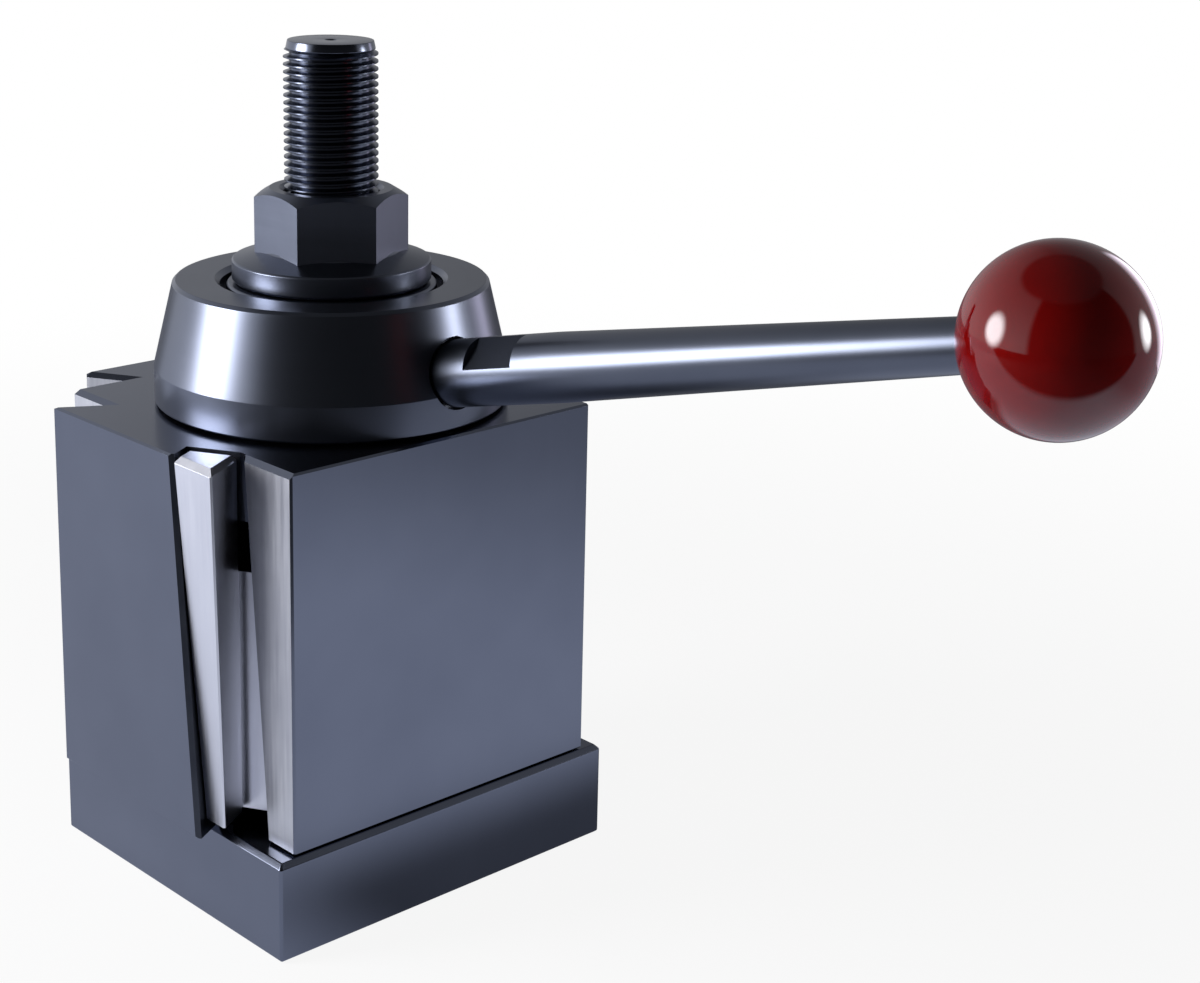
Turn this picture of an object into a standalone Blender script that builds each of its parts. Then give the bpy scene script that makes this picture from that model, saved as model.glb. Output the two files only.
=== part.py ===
# Quick-change tool post with wedge gibs, for a lathe.
#
# A square steel post stands on a base plate and is clamped there by a stud and a flange nut.
# Two neighbouring sides carry a dovetail. The far flank of each dovetail is solid, and the near
# flank is a sliding wedge gib that lies in a leaning groove. The hub on top turns a coarse
# three-start cam screw inside the post. Its threads drive the tails of both gibs up or down,
# and the lean of the grooves turns that travel into the clamping of the dovetails.
#
# Metres, +Z up. The origin is on the stud's axis, at the underside of the base plate.
# The first dovetail faces -X and the second faces +Y. The plain faces look to -Y and +X.

import bpy
import bmesh
from math import atan2, cos, pi, radians, sin, sqrt, tan
from mathutils import Matrix, Vector

mm = 0.001

# Fits
rest_gap = 0.3 * mm          # left between pieces that rest on or in each other
turn_gap = 0.4 * mm          # left between pieces that turn or slide on each other

# Base plate and stud
plate_size_x = 98.8 * mm
plate_size_y = 90.6 * mm
plate_thickness = 24.0 * mm
plate_chamfer = 1.2 * mm
stud_radius = 11.11 * mm
stud_length = 200.9 * mm
stud_end_chamfer = 1.3 * mm

# Post body
seat_distance = 44.6 * mm    # stud axis to the ground seats beside the dovetails
plain_distance = 44.1 * mm   # stud axis to the two plain faces
body_height = 90.1 * mm
dovetail_depth = 11.5 * mm
dovetail_angle = radians(30.0)
dovetail_reach = 34.5 * mm   # stud axis to the sharp corner of the solid flank
body_chamfer = 1.2 * mm      # along the seats and flanks, at the top
edge_break = 0.42            # other edges, as a share of that chamfer
chamber_radius = 31.5 * mm
chamber_mouth = 0.6 * mm
floor_thickness = 8.7 * mm
floor_hole_clearance = 1.1 * mm

# Wedge grooves and gibs
groove_lean = 0.0728         # sideways travel for each unit of downward travel
groove_wall_offset = 14.3 * mm  # radial line to the groove's loaded wall, at the body's top
groove_width = 15.24 * mm
groove_back = 49.3 * mm      # stud axis to the groove's back wall
groove_corner = 2.4 * mm
groove_edge_break = 1.6 * mm
window_ledge = 3.2 * mm      # strip of back wall left beside the window for the tail
window_step = 0.2 * mm       # window's flank wall within the groove's
window_height = 74.0 * mm    # from the body's underside
flank_offset = 1.6 * mm      # radial line to the gib's clamping flank
gib_length = 86.0 * mm
gib_lift = 3.7 * mm          # gib's foot above the body's underside, in this position
gib_face_recess = 0.3 * mm   # gib's outer face behind the dovetail's, at the top
gib_chamfer = 1.5 * mm
gib_back_chamfer = 1.3 * mm   # along the top edges on the groove's walls
gib_edge_break = 0.9 * mm
gib_inner_break = 0.9 * mm
tail_height = 58.0 * mm
tail_step = 0.9 * mm         # front of the tail behind the groove's back wall

# Hub, sleeve and cam screw
hub_lift = 0.6 * mm          # air between body and hub
hub_base_radius = 42.3 * mm
hub_top_radius = 37.7 * mm
hub_band_height = 8.6 * mm
hub_cone_height = 19.8 * mm
hub_edge = 0.8 * mm
hub_mouth_radius = 26.5 * mm
hub_mouth_depth = 6.2 * mm
hub_mouth_chamfer = 1.15 * mm
hub_spigot_length = 6.7 * mm
sleeve_radius = 20.0 * mm
sleeve_bore_clearance = 0.5 * mm
collar_radius = 25.05 * mm
collar_height = 3.8 * mm
collar_washer_thickness = 1.0 * mm
bush_wall = 2.7 * mm
bush_length = 25.0 * mm
lower_bush_height = 10.2 * mm
lower_flange_height = 2.7 * mm
lower_flange_radius = 26.6 * mm
seal_width = 1.5 * mm
seal_height = 2.2 * mm
screw_root_radius = 28.0 * mm
screw_crest_radius = 30.6 * mm
screw_lead = 24.0 * mm
screw_starts = 3
thread_root_width = 4.4 * mm
thread_crest_width = 2.8 * mm
thread_start = 5.0 * mm      # first thread above the cam screw's foot
thread_run = 52.0 * mm
thread_clearance = 0.35 * mm
drive_pin_radius = 2.2 * mm
drive_pin_circle = 26.3 * mm
drive_pin_length = 16.0 * mm
thrust_washer_width = 2.6 * mm
thrust_washer_thickness = 0.9 * mm
stop_pin_radius = 2.0 * mm
stop_pin_circle = 37.2 * mm
stop_pin_angle = radians(112.0)
stop_slot_depth = 4.0 * mm
turn_to_lock = radians(45.0)
turn_to_open = radians(75.0)
sleeve_screw_circle = 16.2 * mm
sleeve_screw_radius = 2.0 * mm
sleeve_screw_head_radius = 3.5 * mm
sleeve_screw_head_height = 3.9 * mm
sleeve_screw_length = 20.0 * mm

# Handle
handle_angle = radians(-83.1)
handle_rise = radians(13.05)
handle_axis_height = 4.1 * mm   # handle axis above the body's top, at the stud axis
spotface_radius = 8.5 * mm
spotface_distance = 38.5 * mm   # floor of the spotface, along the handle
handle_radius = 7.9 * mm
handle_end_radius = 5.6 * mm
handle_shoulder_radius = 3.4 * mm
handle_stub_radius = 6.35 * mm
handle_stub_length = 8.0 * mm
handle_tip_radius = 4.76 * mm
handle_tip_length = 13.5 * mm
handle_straight_end = 75.0 * mm
flats_start = 51.5 * mm
flats_length = 14.5 * mm
flats_across = 12.7 * mm
flats_roll = radians(-49.0)
knob_distance = 198.0 * mm
knob_radius = 19.05 * mm
knob_mouth_distance = 17.8 * mm
insert_radius = 6.2 * mm
insert_length = 16.5 * mm

# Flange nut
nut_across_flats = 31.6 * mm
nut_turn = radians(-32.8)
nut_hex_bottom = 6.9 * mm       # bottom of the flats above the nut's foot
nut_height = 22.3 * mm
nut_flange_radius = 23.67 * mm
nut_flange_height = 5.3 * mm
nut_foot_chamfer = 0.7 * mm
nut_corner_drop = 2.2 * mm      # corners below the top face, from the turned chamfer
nut_top_radius = 14.6 * mm

# Heights that follow from the sizes above
body_bottom = plate_thickness + rest_gap
body_top = body_bottom + body_height
floor_top = body_bottom + floor_thickness
hub_bottom = body_top + hub_lift
hub_break = hub_bottom + hub_band_height
hub_rim = hub_break + hub_cone_height
hub_top = hub_rim + hub_edge
hub_ledge = hub_top - hub_mouth_depth
spigot_bottom = hub_bottom - hub_spigot_length
washer_bottom = hub_ledge + rest_gap
collar_bottom = washer_bottom + collar_washer_thickness + rest_gap
sleeve_top = collar_bottom + collar_height
sleeve_bottom = floor_top + rest_gap
nut_bottom = sleeve_top + rest_gap
lower_flange_top = sleeve_bottom + lower_flange_height
screw_bottom = lower_flange_top + rest_gap
screw_top = spigot_bottom - rest_gap
handle_height = body_top + handle_axis_height
gib_bottom = body_bottom + gib_lift
gib_top = gib_bottom + gib_length

# Radii that follow
bush_inner = sleeve_radius + turn_gap
bush_outer = bush_inner + bush_wall
hub_bore = bush_outer + rest_gap
screw_bore = sleeve_radius + 2 * turn_gap
spigot_radius = chamber_radius - turn_gap

# Directions of the first groove, in plan: inward along the tail, and across it to the flank
inward = Vector((cos(dovetail_angle), sin(dovetail_angle)))
across = Vector((sin(dovetail_angle), -cos(dovetail_angle)))
outer_face = seat_distance + dovetail_depth

big_steps = 56
mid_steps = 32
small_steps = 16

for old in list(bpy.data.objects):
    bpy.data.objects.remove(old, do_unlink=True)


def new_collection(name):
    made = bpy.data.collections.new(name)
    bpy.context.scene.collection.children.link(made)
    return made


post = new_collection("wedge_quick_change_tool_post")
tools = new_collection("cutters_and_joiners")


def new_material(name, colour, roughness, metallic):
    made = bpy.data.materials.new(name)
    made.use_nodes = True
    shader = made.node_tree.nodes["Principled BSDF"]
    shader.inputs["Base Color"].default_value = (*colour, 1.0)
    shader.inputs["Roughness"].default_value = roughness
    shader.inputs["Metallic"].default_value = metallic
    return made


def finish(ob, colour=None, roughness=0.35, metallic=1.0):
    """Gives a piece its own material and soft shading, or marks it as a working shape."""
    if colour is None:
        tools.objects.link(ob)
        ob.hide_render = True
        ob.display_type = "WIRE"
        return ob
    post.objects.link(ob)
    ob.data.materials.append(new_material(ob.name + "_look", colour, roughness, metallic))
    return ob


def object_from(bm, name, smooth=True):
    bm.normal_update()
    bmesh.ops.recalc_face_normals(bm, faces=bm.faces)
    mesh = bpy.data.meshes.new(name)
    bm.to_mesh(mesh)
    bm.free()
    if smooth:
        mesh.shade_smooth()
        mesh.set_sharp_from_angle(angle=radians(35.0))
    return bpy.data.objects.new(name, mesh)


def turned(name, outline, steps, closed=True, look=None):
    """A turned piece: (radius, height) points that run down the outside and up the inside."""
    mesh = bpy.data.meshes.new(name)
    points = [(r, 0.0, z) for r, z in outline]
    edges = [(i, i + 1) for i in range(len(points) - 1)]
    if closed:
        edges.append((len(points) - 1, 0))
    mesh.from_pydata(points, edges, [])
    ob = bpy.data.objects.new(name, mesh)
    spin = ob.modifiers.new("turn", "SCREW")
    spin.axis = "Z"
    spin.angle = 2 * pi
    spin.steps = steps
    spin.render_steps = steps
    spin.use_merge_vertices = True
    spin.merge_threshold = 0.00001
    return finish(ob, *(look or ()))


def prism(name, outline, low, high, lean=(0.0, 0.0), look=None, smooth=False):
    """A flat outline drawn at the low end and extruded to the high end, leaning if asked."""
    bm = bmesh.new()
    base = bm.faces.new([bm.verts.new((x, y, low)) for x, y in outline])
    grown = bmesh.ops.extrude_face_region(bm, geom=[base])
    top = [v for v in grown["geom"] if isinstance(v, bmesh.types.BMVert)]
    rise = high - low
    bmesh.ops.translate(bm, verts=top, vec=(lean[0] * rise, lean[1] * rise, rise))
    return finish(object_from(bm, name, smooth), *(look or ()))


def add_rod(bm, radius, low, high, steps, x=0.0, y=0.0):
    place = Matrix.Translation((x, y, (low + high) / 2))
    bmesh.ops.create_cone(bm, cap_ends=True, segments=steps, radius1=radius, radius2=radius,
                          depth=high - low, matrix=place)


def rods(name, radius, low, high, steps, places=((0.0, 0.0),), look=None):
    bm = bmesh.new()
    for x, y in places:
        add_rod(bm, radius, low, high, steps, x, y)
    return finish(object_from(bm, name), *(look or ()))


def ring_places(circle, count, first=0.0):
    return [(circle * cos(first + 2 * pi * i / count), circle * sin(first + 2 * pi * i / count))
            for i in range(count)]


def change(ob, other, operation):
    step = ob.modifiers.new(operation.lower() + "_" + other.name, "BOOLEAN")
    step.operation = operation
    step.solver = "EXACT"
    step.object = other
    return ob


def cut(ob, *others):
    for other in others:
        change(ob, other, "DIFFERENCE")


def join(ob, *others):
    for other in others:
        change(ob, other, "UNION")


def mirrored(outline):
    """The second side is the first one mirrored in the plan's diagonal."""
    return [(-y, -x) for x, y in outline]


def plan(u, v):
    """Point of the first side from its inward and across distances."""
    return (u * inward.x + v * across.x, u * inward.y + v * across.y)


def side_of(outline, second):
    return mirrored(outline) if second else list(outline)


def lean_of(second, across_slope=groove_lean):
    """Lean of the first groove, as travel for each unit upward."""
    x, y = -across_slope * across.x, -across_slope * across.y
    return (-y, -x) if second else (x, y)


def at_height(v_top, height):
    """Across distance of a leaning wall at a height, from its value at the body's top."""
    return v_top + groove_lean * (body_top - height)


blued = (0.085, 0.095, 0.115)
ground = (0.62, 0.62, 0.63)
bronze = (0.55, 0.36, 0.16)
brass = (0.72, 0.53, 0.22)

# Base plate, with the stud screwed in flush with its underside
half_x = plate_size_x / 2
half_y = plate_size_y / 2
bm = bmesh.new()
bmesh.ops.create_cube(bm, size=1.0, matrix=Matrix.Translation((0.0, 0.0, plate_thickness / 2))
                      @ Matrix.Diagonal((plate_size_x, plate_size_y, plate_thickness, 1.0)))
marks = bm.edges.layers.float.new("bevel_weight_edge")
for edge in bm.edges:
    on_top = min(v.co.z for v in edge.verts) > plate_thickness / 2
    edge[marks] = 1.0 if on_top else edge_break
base_plate = finish(object_from(bm, "base_plate", False), blued, 0.4)
edges = base_plate.modifiers.new("edges", "BEVEL")
edges.limit_method = "WEIGHT"
edges.width = plate_chamfer
edges.segments = 1
tapped = stud_radius + rest_gap
plate_hole = turned("plate_hole", [
    (0.0, plate_thickness + 2 * mm), (tapped + 3 * mm, plate_thickness + 2 * mm),
    (tapped, plate_thickness - 1 * mm), (tapped, -1 * mm), (0.0, -1 * mm)], mid_steps, False)
cut(base_plate, plate_hole)

stud = turned("stud", [
    (0.0, stud_length), (stud_radius - stud_end_chamfer, stud_length),
    (stud_radius, stud_length - stud_end_chamfer), (stud_radius, 0.0), (0.0, 0.0)],
    mid_steps, False, (blued, 0.4))

# Post body: the plan outline with both dovetails, then the grooves, windows and bores
flank_run = dovetail_depth * tan(dovetail_angle)
mouth_near = 28.0 * mm
half_plan = [
    (-seat_distance, -plain_distance), (-seat_distance, -mouth_near + 1.5 * mm),
    (-outer_face, -mouth_near), (-outer_face, dovetail_reach),
    (-seat_distance, dovetail_reach - flank_run), (-seat_distance, seat_distance)]
# The second half mirrors the first; the corner on the diagonal is shared
outline = half_plan + mirrored(half_plan[:-1])[::-1] + [(plain_distance, -plain_distance)]
bm = bmesh.new()
base = bm.faces.new([bm.verts.new((x, y, body_bottom)) for x, y in outline])
grown = bmesh.ops.extrude_face_region(bm, geom=[base])
bmesh.ops.translate(bm, verts=[v for v in grown["geom"] if isinstance(v, bmesh.types.BMVert)],
                    vec=(0.0, 0.0, body_height))
marks = bm.edges.layers.float.new("bevel_weight_edge")
bm.normal_update()
bmesh.ops.recalc_face_normals(bm, faces=bm.faces)
for edge in bm.edges:
    start, end = (v.co for v in edge.verts)
    middle, run = (start + end) / 2, end - start
    on_seat = abs(middle.x + seat_distance) < 0.1 * mm or abs(middle.y - seat_distance) < 0.1 * mm
    on_flank = abs(run.x) > 0.1 * mm and abs(run.y) > 0.1 * mm
    if abs(run.z) > 0.1 * mm:
        edge[marks] = edge_break if edge.is_convex else 0.0
    elif middle.z > body_bottom + body_height / 2 and (on_seat or on_flank):
        edge[marks] = 1.0
    else:
        edge[marks] = edge_break
post_body = finish(object_from(bm, "post_body", False), blued, 0.4)
edges = post_body.modifiers.new("edges", "BEVEL")
edges.limit_method = "WEIGHT"
edges.width = body_chamfer
edges.segments = 1

wall_top = -groove_wall_offset
far_top = wall_top + groove_width
low, high = body_bottom - 3 * mm, body_top + 3 * mm


def groove_outline(height):
    """Groove in plan, with its rounded inner corner on the flank side."""
    wall = at_height(wall_top, height)
    far = wall + groove_width
    points = [(-80 * mm, wall), (-groove_back, wall), (-groove_back, far - groove_corner)]
    for i in range(1, 4):
        turn = radians(30.0 * i)
        points.append((-groove_back - groove_corner * (1 - cos(turn)),
                       far - groove_corner + groove_corner * sin(turn)))
    points.append((-80 * mm, far))
    return [plan(u, v) for u, v in points]


for second, tag in ((False, "a"), (True, "b")):
    groove = prism("groove_" + tag, side_of(groove_outline(low), second), low, high,
                   lean_of(second))
    window_low = at_height(wall_top + window_ledge, low)
    window_far = at_height(far_top - window_step, low)
    window = prism("window_" + tag, side_of([plan(u, v) for u, v in (
        (-groove_back - 2 * mm, window_low), (-26 * mm, window_low),
        (-26 * mm, window_far), (-groove_back - 2 * mm, window_far))], second),
        low, body_bottom + window_height, lean_of(second))
    # Break of the groove's long edge on the dovetail's outer face, along that edge
    edge_slope = -groove_lean / cos(dovetail_angle)
    edge_y = (-outer_face * across.x - at_height(wall_top, low)) / cos(dovetail_angle)
    side_break = prism("side_break_" + tag, side_of([
        (-outer_face - 2 * mm, edge_y + groove_edge_break + 2 * mm),
        (-outer_face - 2 * mm, edge_y - 3 * mm),
        (-outer_face + groove_edge_break, edge_y - 3 * mm),
        (-outer_face + groove_edge_break * 0.6, edge_y + groove_edge_break * 0.35),
        (-outer_face, edge_y + groove_edge_break)], second), low, high,
        (edge_slope, 0.0) if second else (0.0, -edge_slope))
    cut(post_body, groove, window, side_break)

chamber = turned("chamber", [
    (0.0, body_top + 1 * mm), (chamber_radius + chamber_mouth + 1 * mm, body_top + 1 * mm),
    (chamber_radius, body_top - chamber_mouth), (chamber_radius, floor_top), (0.0, floor_top)],
    big_steps, False)
floor_hole = rods("floor_hole", stud_radius + floor_hole_clearance, body_bottom - 2 * mm,
                  floor_top + 2 * mm, mid_steps)
screw_places = ring_places(sleeve_screw_circle, 3, radians(90.0))
screw_seats = rods("screw_seats", sleeve_screw_head_radius + rest_gap, body_bottom - 2 * mm,
                   body_bottom + 2 * rest_gap + sleeve_screw_head_height, small_steps, screw_places)
screw_holes = rods("screw_holes", sleeve_screw_radius + rest_gap, body_bottom - 2 * mm,
                   floor_top + 2 * mm, small_steps, screw_places)
stop_place = ((stop_pin_circle * cos(stop_pin_angle), stop_pin_circle * sin(stop_pin_angle)),)
stop_hole = rods("stop_hole", stop_pin_radius + rest_gap, body_top - 8.7 * mm, body_top + 2 * mm,
                 small_steps, stop_place)
cut(post_body, chamber, floor_hole, screw_seats, screw_holes, stop_hole)

stop_pin = rods("stop_pin", stop_pin_radius, body_top - 8.4 * mm,
                hub_bottom + stop_slot_depth - 1.0 * mm, small_steps, stop_place, (ground, 0.3))

# Centre sleeve: carries the nut's load to the body's floor and holds the hub down
bore = stud_radius + sleeve_bore_clearance
centre_sleeve = turned("centre_sleeve", [
    (collar_radius - 0.5 * mm, sleeve_top), (collar_radius, sleeve_top - 0.5 * mm),
    (collar_radius, collar_bottom), (sleeve_radius, collar_bottom),
    (sleeve_radius, sleeve_bottom), (bore, sleeve_bottom), (bore, sleeve_top)],
    big_steps, True, (ground, 0.3))
sleeve_tapped = rods("sleeve_tapped", sleeve_screw_radius + rest_gap, sleeve_bottom - 2 * mm,
                     body_bottom + sleeve_screw_length + 1 * mm, small_steps, screw_places)
cut(centre_sleeve, sleeve_tapped)

head_low = body_bottom + rest_gap
screw_sockets = rods("screw_sockets", sleeve_screw_radius * 0.85, head_low - 1 * mm,
                     head_low + 2.2 * mm, 6, screw_places)
for number, (x, y) in enumerate(screw_places, 1):
    screw = turned("sleeve_screw_" + str(number), [
        (0.0, body_bottom + sleeve_screw_length),
        (sleeve_screw_radius, body_bottom + sleeve_screw_length),
        (sleeve_screw_radius, head_low + sleeve_screw_head_height),
        (sleeve_screw_head_radius, head_low + sleeve_screw_head_height),
        (sleeve_screw_head_radius, head_low), (0.0, head_low)], small_steps, False, (blued, 0.4))
    screw.location = (x, y, 0.0)
    cut(screw, screw_sockets)

# Bronze bushes, washers and the seal
upper_bush = turned("upper_bush", [
    (bush_outer, hub_ledge - rest_gap), (bush_outer, hub_ledge - rest_gap - bush_length),
    (bush_inner, hub_ledge - rest_gap - bush_length), (bush_inner, hub_ledge - rest_gap)],
    mid_steps, True, (bronze, 0.35))
lower_bush = turned("lower_bush", [
    (bush_outer, lower_flange_top + lower_bush_height), (bush_outer, lower_flange_top),
    (lower_flange_radius, lower_flange_top), (lower_flange_radius, sleeve_bottom),
    (bush_inner, sleeve_bottom), (bush_inner, lower_flange_top + lower_bush_height)],
    mid_steps, True, (bronze, 0.35))
collar_washer = turned("collar_washer", [
    (hub_mouth_radius - turn_gap, washer_bottom + collar_washer_thickness),
    (hub_mouth_radius - turn_gap, washer_bottom), (sleeve_radius + turn_gap, washer_bottom),
    (sleeve_radius + turn_gap, washer_bottom + collar_washer_thickness)],
    mid_steps, True, (ground, 0.3))
thrust_inner = chamber_radius + chamber_mouth
thrust_outer = thrust_inner + thrust_washer_width
thrust_low = body_top + rest_gap
thrust_washer = turned("thrust_washer", [
    (thrust_outer, thrust_low + thrust_washer_thickness), (thrust_outer, thrust_low),
    (thrust_inner, thrust_low), (thrust_inner, thrust_low + thrust_washer_thickness)],
    mid_steps, True, (blued, 0.4))
seal_outer = chamber_radius - rest_gap
seal_low = spigot_bottom + 2.2 * mm
hub_seal = turned("hub_seal", [
    (seal_outer - 0.4 * mm, seal_low + seal_height), (seal_outer, seal_low + seal_height - 0.5 * mm),
    (seal_outer, seal_low + 0.5 * mm), (seal_outer - 0.4 * mm, seal_low),
    (seal_outer - seal_width, seal_low), (seal_outer - seal_width, seal_low + seal_height)],
    mid_steps, True, ((0.02, 0.02, 0.02), 0.7, 0.0))

# Cam hub: a cone with a band below it, a spigot in the chamber and a mouth round the collar
groove_root = seal_outer - seal_width - rest_gap
thrust_ceiling = thrust_low + thrust_washer_thickness + rest_gap
cam_hub = turned("cam_hub", [
    (hub_mouth_radius + hub_mouth_chamfer, hub_top), (hub_top_radius - hub_edge, hub_top),
    (hub_top_radius, hub_rim), (hub_base_radius, hub_break),
    (hub_base_radius, hub_bottom + 0.5 * mm), (hub_base_radius - 0.5 * mm, hub_bottom),
    (thrust_outer + rest_gap, hub_bottom), (thrust_outer + rest_gap, thrust_ceiling),
    (spigot_radius, thrust_ceiling), (spigot_radius, seal_low + seal_height + rest_gap),
    (groove_root, seal_low + seal_height + rest_gap), (groove_root, seal_low - rest_gap),
    (spigot_radius, seal_low - rest_gap), (spigot_radius, spigot_bottom),
    (hub_bore, spigot_bottom), (hub_bore, hub_ledge), (hub_mouth_radius, hub_ledge),
    (hub_mouth_radius, hub_top - hub_mouth_chamfer)], big_steps, True, (blued, 0.3))


def along_handle(ob):
    """Stands a piece, drawn along its own +Z, on the handle's axis."""
    ob.location = (0.0, 0.0, handle_height)
    ob.rotation_euler = (0.0, pi / 2 - handle_rise, handle_angle)
    return ob


socket = along_handle(turned("handle_socket", [
    (0.0, 60 * mm), (spotface_radius + 6 * mm, 60 * mm), (spotface_radius, 44 * mm),
    (spotface_radius, spotface_distance), (handle_stub_radius + rest_gap, spotface_distance),
    (handle_stub_radius + rest_gap, spotface_distance - handle_stub_length - 0.6 * mm),
    (0.0, spotface_distance - handle_stub_length - 2.6 * mm)], 32, False))


def arc_slot(name, radius, half_width, low, high, first, last, steps):
    """Part of a flat ring, swept round the stud's axis between two angles."""
    bm = bmesh.new()
    corners = [(radius - half_width, low), (radius + half_width, low),
               (radius + half_width, high), (radius - half_width, high)]
    face = bm.faces.new([bm.verts.new((r * cos(first), r * sin(first), z)) for r, z in corners])
    bmesh.ops.spin(bm, geom=[face] + list(face.edges) + list(face.verts), cent=(0.0, 0.0, 0.0),
                   axis=(0.0, 0.0, 1.0), angle=last - first, steps=steps)
    return finish(object_from(bm, name))


slot_half = stop_pin_radius + 0.6 * mm
slot_spare = (slot_half + 0.4 * mm) / stop_pin_circle
stop_slot = arc_slot("stop_slot", stop_pin_circle, slot_half, hub_bottom - 1 * mm,
                     hub_bottom + stop_slot_depth, stop_pin_angle - turn_to_open - slot_spare,
                     stop_pin_angle + turn_to_lock + slot_spare, 24)
pin_places = ring_places(drive_pin_circle, 3, radians(37.0))
pin_low = screw_top - drive_pin_length * 0.55
pin_holes = rods("pin_holes", drive_pin_radius + rest_gap, pin_low - rest_gap,
                 pin_low + drive_pin_length + rest_gap, small_steps, pin_places)
cut(cam_hub, socket, stop_slot, pin_holes)
for number, place in enumerate(pin_places, 1):
    rods("drive_pin_" + str(number), drive_pin_radius, pin_low, pin_low + drive_pin_length,
         small_steps, (place,), (ground, 0.3))

# Cam screw: a turned barrel joined to three coarse left-hand threads
cam_screw = turned("cam_screw", [
    (screw_root_radius - 0.8 * mm, screw_top), (screw_root_radius, screw_top - 0.8 * mm),
    (screw_root_radius, screw_bottom), (hub_bore, screw_bottom),
    (hub_bore, screw_bottom + lower_bush_height + rest_gap),
    (screw_bore, screw_bottom + lower_bush_height + rest_gap), (screw_bore, screw_top)],
    48, True, (ground, 0.3))


def threads(name, growth, low, high):
    """The cam threads as one working shape, thicker all round by the growth asked for."""
    turn = -2 * pi * (high - low) / screw_lead
    steps = max(8, round(abs(turn) / (2 * pi) * 24))
    root = screw_root_radius - 1.2 * mm
    crest = screw_crest_radius + growth
    slope = (thread_root_width - thread_crest_width) / 2 / (screw_crest_radius - screw_root_radius)
    wide = thread_root_width / 2 + growth * sqrt(1 + slope * slope) + slope * 1.2 * mm
    thin = wide - slope * (crest - root)
    bm = bmesh.new()
    for start in range(screw_starts):
        # The threads keep their phase at a fixed height, whatever stretch is drawn
        first = 2 * pi * start / screw_starts - 2 * pi * (low - screw_bottom) / screw_lead
        face = bm.faces.new([bm.verts.new((r * cos(first), r * sin(first), low + z))
                             for r, z in ((root, -wide), (crest, -thin), (crest, thin),
                                          (root, wide))])
        bmesh.ops.spin(bm, geom=[face] + list(face.edges) + list(face.verts),
                       cent=(0.0, 0.0, 0.0), axis=(0.0, 0.0, 1.0), angle=turn, steps=steps,
                       dvec=(0.0, 0.0, (high - low) / steps))
    return finish(object_from(bm, name))


thread_low = screw_bottom + thread_start
join(cam_screw, threads("cam_threads", 0.0, thread_low, thread_low + thread_run))
cut(cam_screw, pin_holes)

# Wedge gibs: a leaning bar with an upright flank, and a tail that meets the cam screw
thread_space = threads("thread_space", thread_clearance, gib_bottom - 6 * mm,
                       gib_bottom + tail_height + 6 * mm)
barrel_space = rods("barrel_space", screw_root_radius + thread_clearance, gib_bottom - 8 * mm,
                    gib_bottom + tail_height + 8 * mm, 48)


def build_gib(tag, second):
    wall = at_height(wall_top, gib_bottom) + rest_gap
    far = at_height(far_top, gib_bottom) - turn_gap
    back = -groove_back - turn_gap
    # The outer face follows the lean, so it is deepest at the foot
    lean_x, lean_y = lean_of(False)
    face_x = -outer_face + gib_face_recess - lean_x * gib_length
    left = (face_x, (face_x * across.x - wall) / cos(dovetail_angle))
    right = (face_x, (face_x * across.x - far) / cos(dovetail_angle))
    bar = side_of([left, plan(back, wall), plan(back, far), right], second)
    gib = prism("wedge_gib_" + tag, bar, gib_bottom, gib_top, lean_of(second),
                (ground, 0.3))
    neck = wall + window_ledge
    tail_far = at_height(far_top - window_step, gib_bottom) - turn_gap
    tail_front = -groove_back + tail_step
    tail = prism("tail_" + tag, side_of([plan(u, v) for u, v in (
        (back - 1.5 * mm, neck), (-screw_root_radius, neck), (-screw_root_radius, tail_far),
        (back - 1.5 * mm, tail_far))], second),
        gib_bottom, gib_bottom + tail_height, lean_of(second))
    join(gib, tail)
    flank = prism("flank_" + tag, side_of([plan(u, v) for u, v in (
        (-80 * mm, -flank_offset), (back - gib_inner_break, -flank_offset),
        (back, -flank_offset - gib_inner_break), (tail_front, -flank_offset - gib_inner_break),
        (tail_front, 30 * mm), (-80 * mm, 30 * mm))], second),
        gib_bottom - 5 * mm, gib_top + 5 * mm)
    # Chamfers along the top edges of the outer face and of the flank
    top_x = -outer_face + gib_face_recess
    face_break = wedge_tool("face_break_" + tag, (top_x, 0.0), (-1.0, 0.0), gib_chamfer, second)
    flank_point = plan(-50 * mm, -flank_offset)
    flank_break = wedge_tool("flank_break_" + tag, flank_point, (across.x, across.y),
                             gib_chamfer * 0.8, second)
    top_wall = at_height(wall_top, gib_top) + rest_gap
    wall_break = wedge_tool("wall_break_" + tag, plan(-50 * mm, top_wall),
                            (-across.x, -across.y), gib_back_chamfer, second)
    back_break = wedge_tool("back_break_" + tag, plan(back, -flank_offset),
                            (inward.x, inward.y), gib_back_chamfer, second)
    corner = (top_x, (top_x * across.x + flank_offset) / cos(dovetail_angle))
    ridge = Vector((across.x - 1.0, across.y)).normalized()
    front_break = wedge_strip("front_break_" + tag, corner, ridge, gib_edge_break, second)
    cut(gib, flank, face_break, flank_break, wall_break, back_break, front_break,
        barrel_space, thread_space)
    return gib


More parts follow.
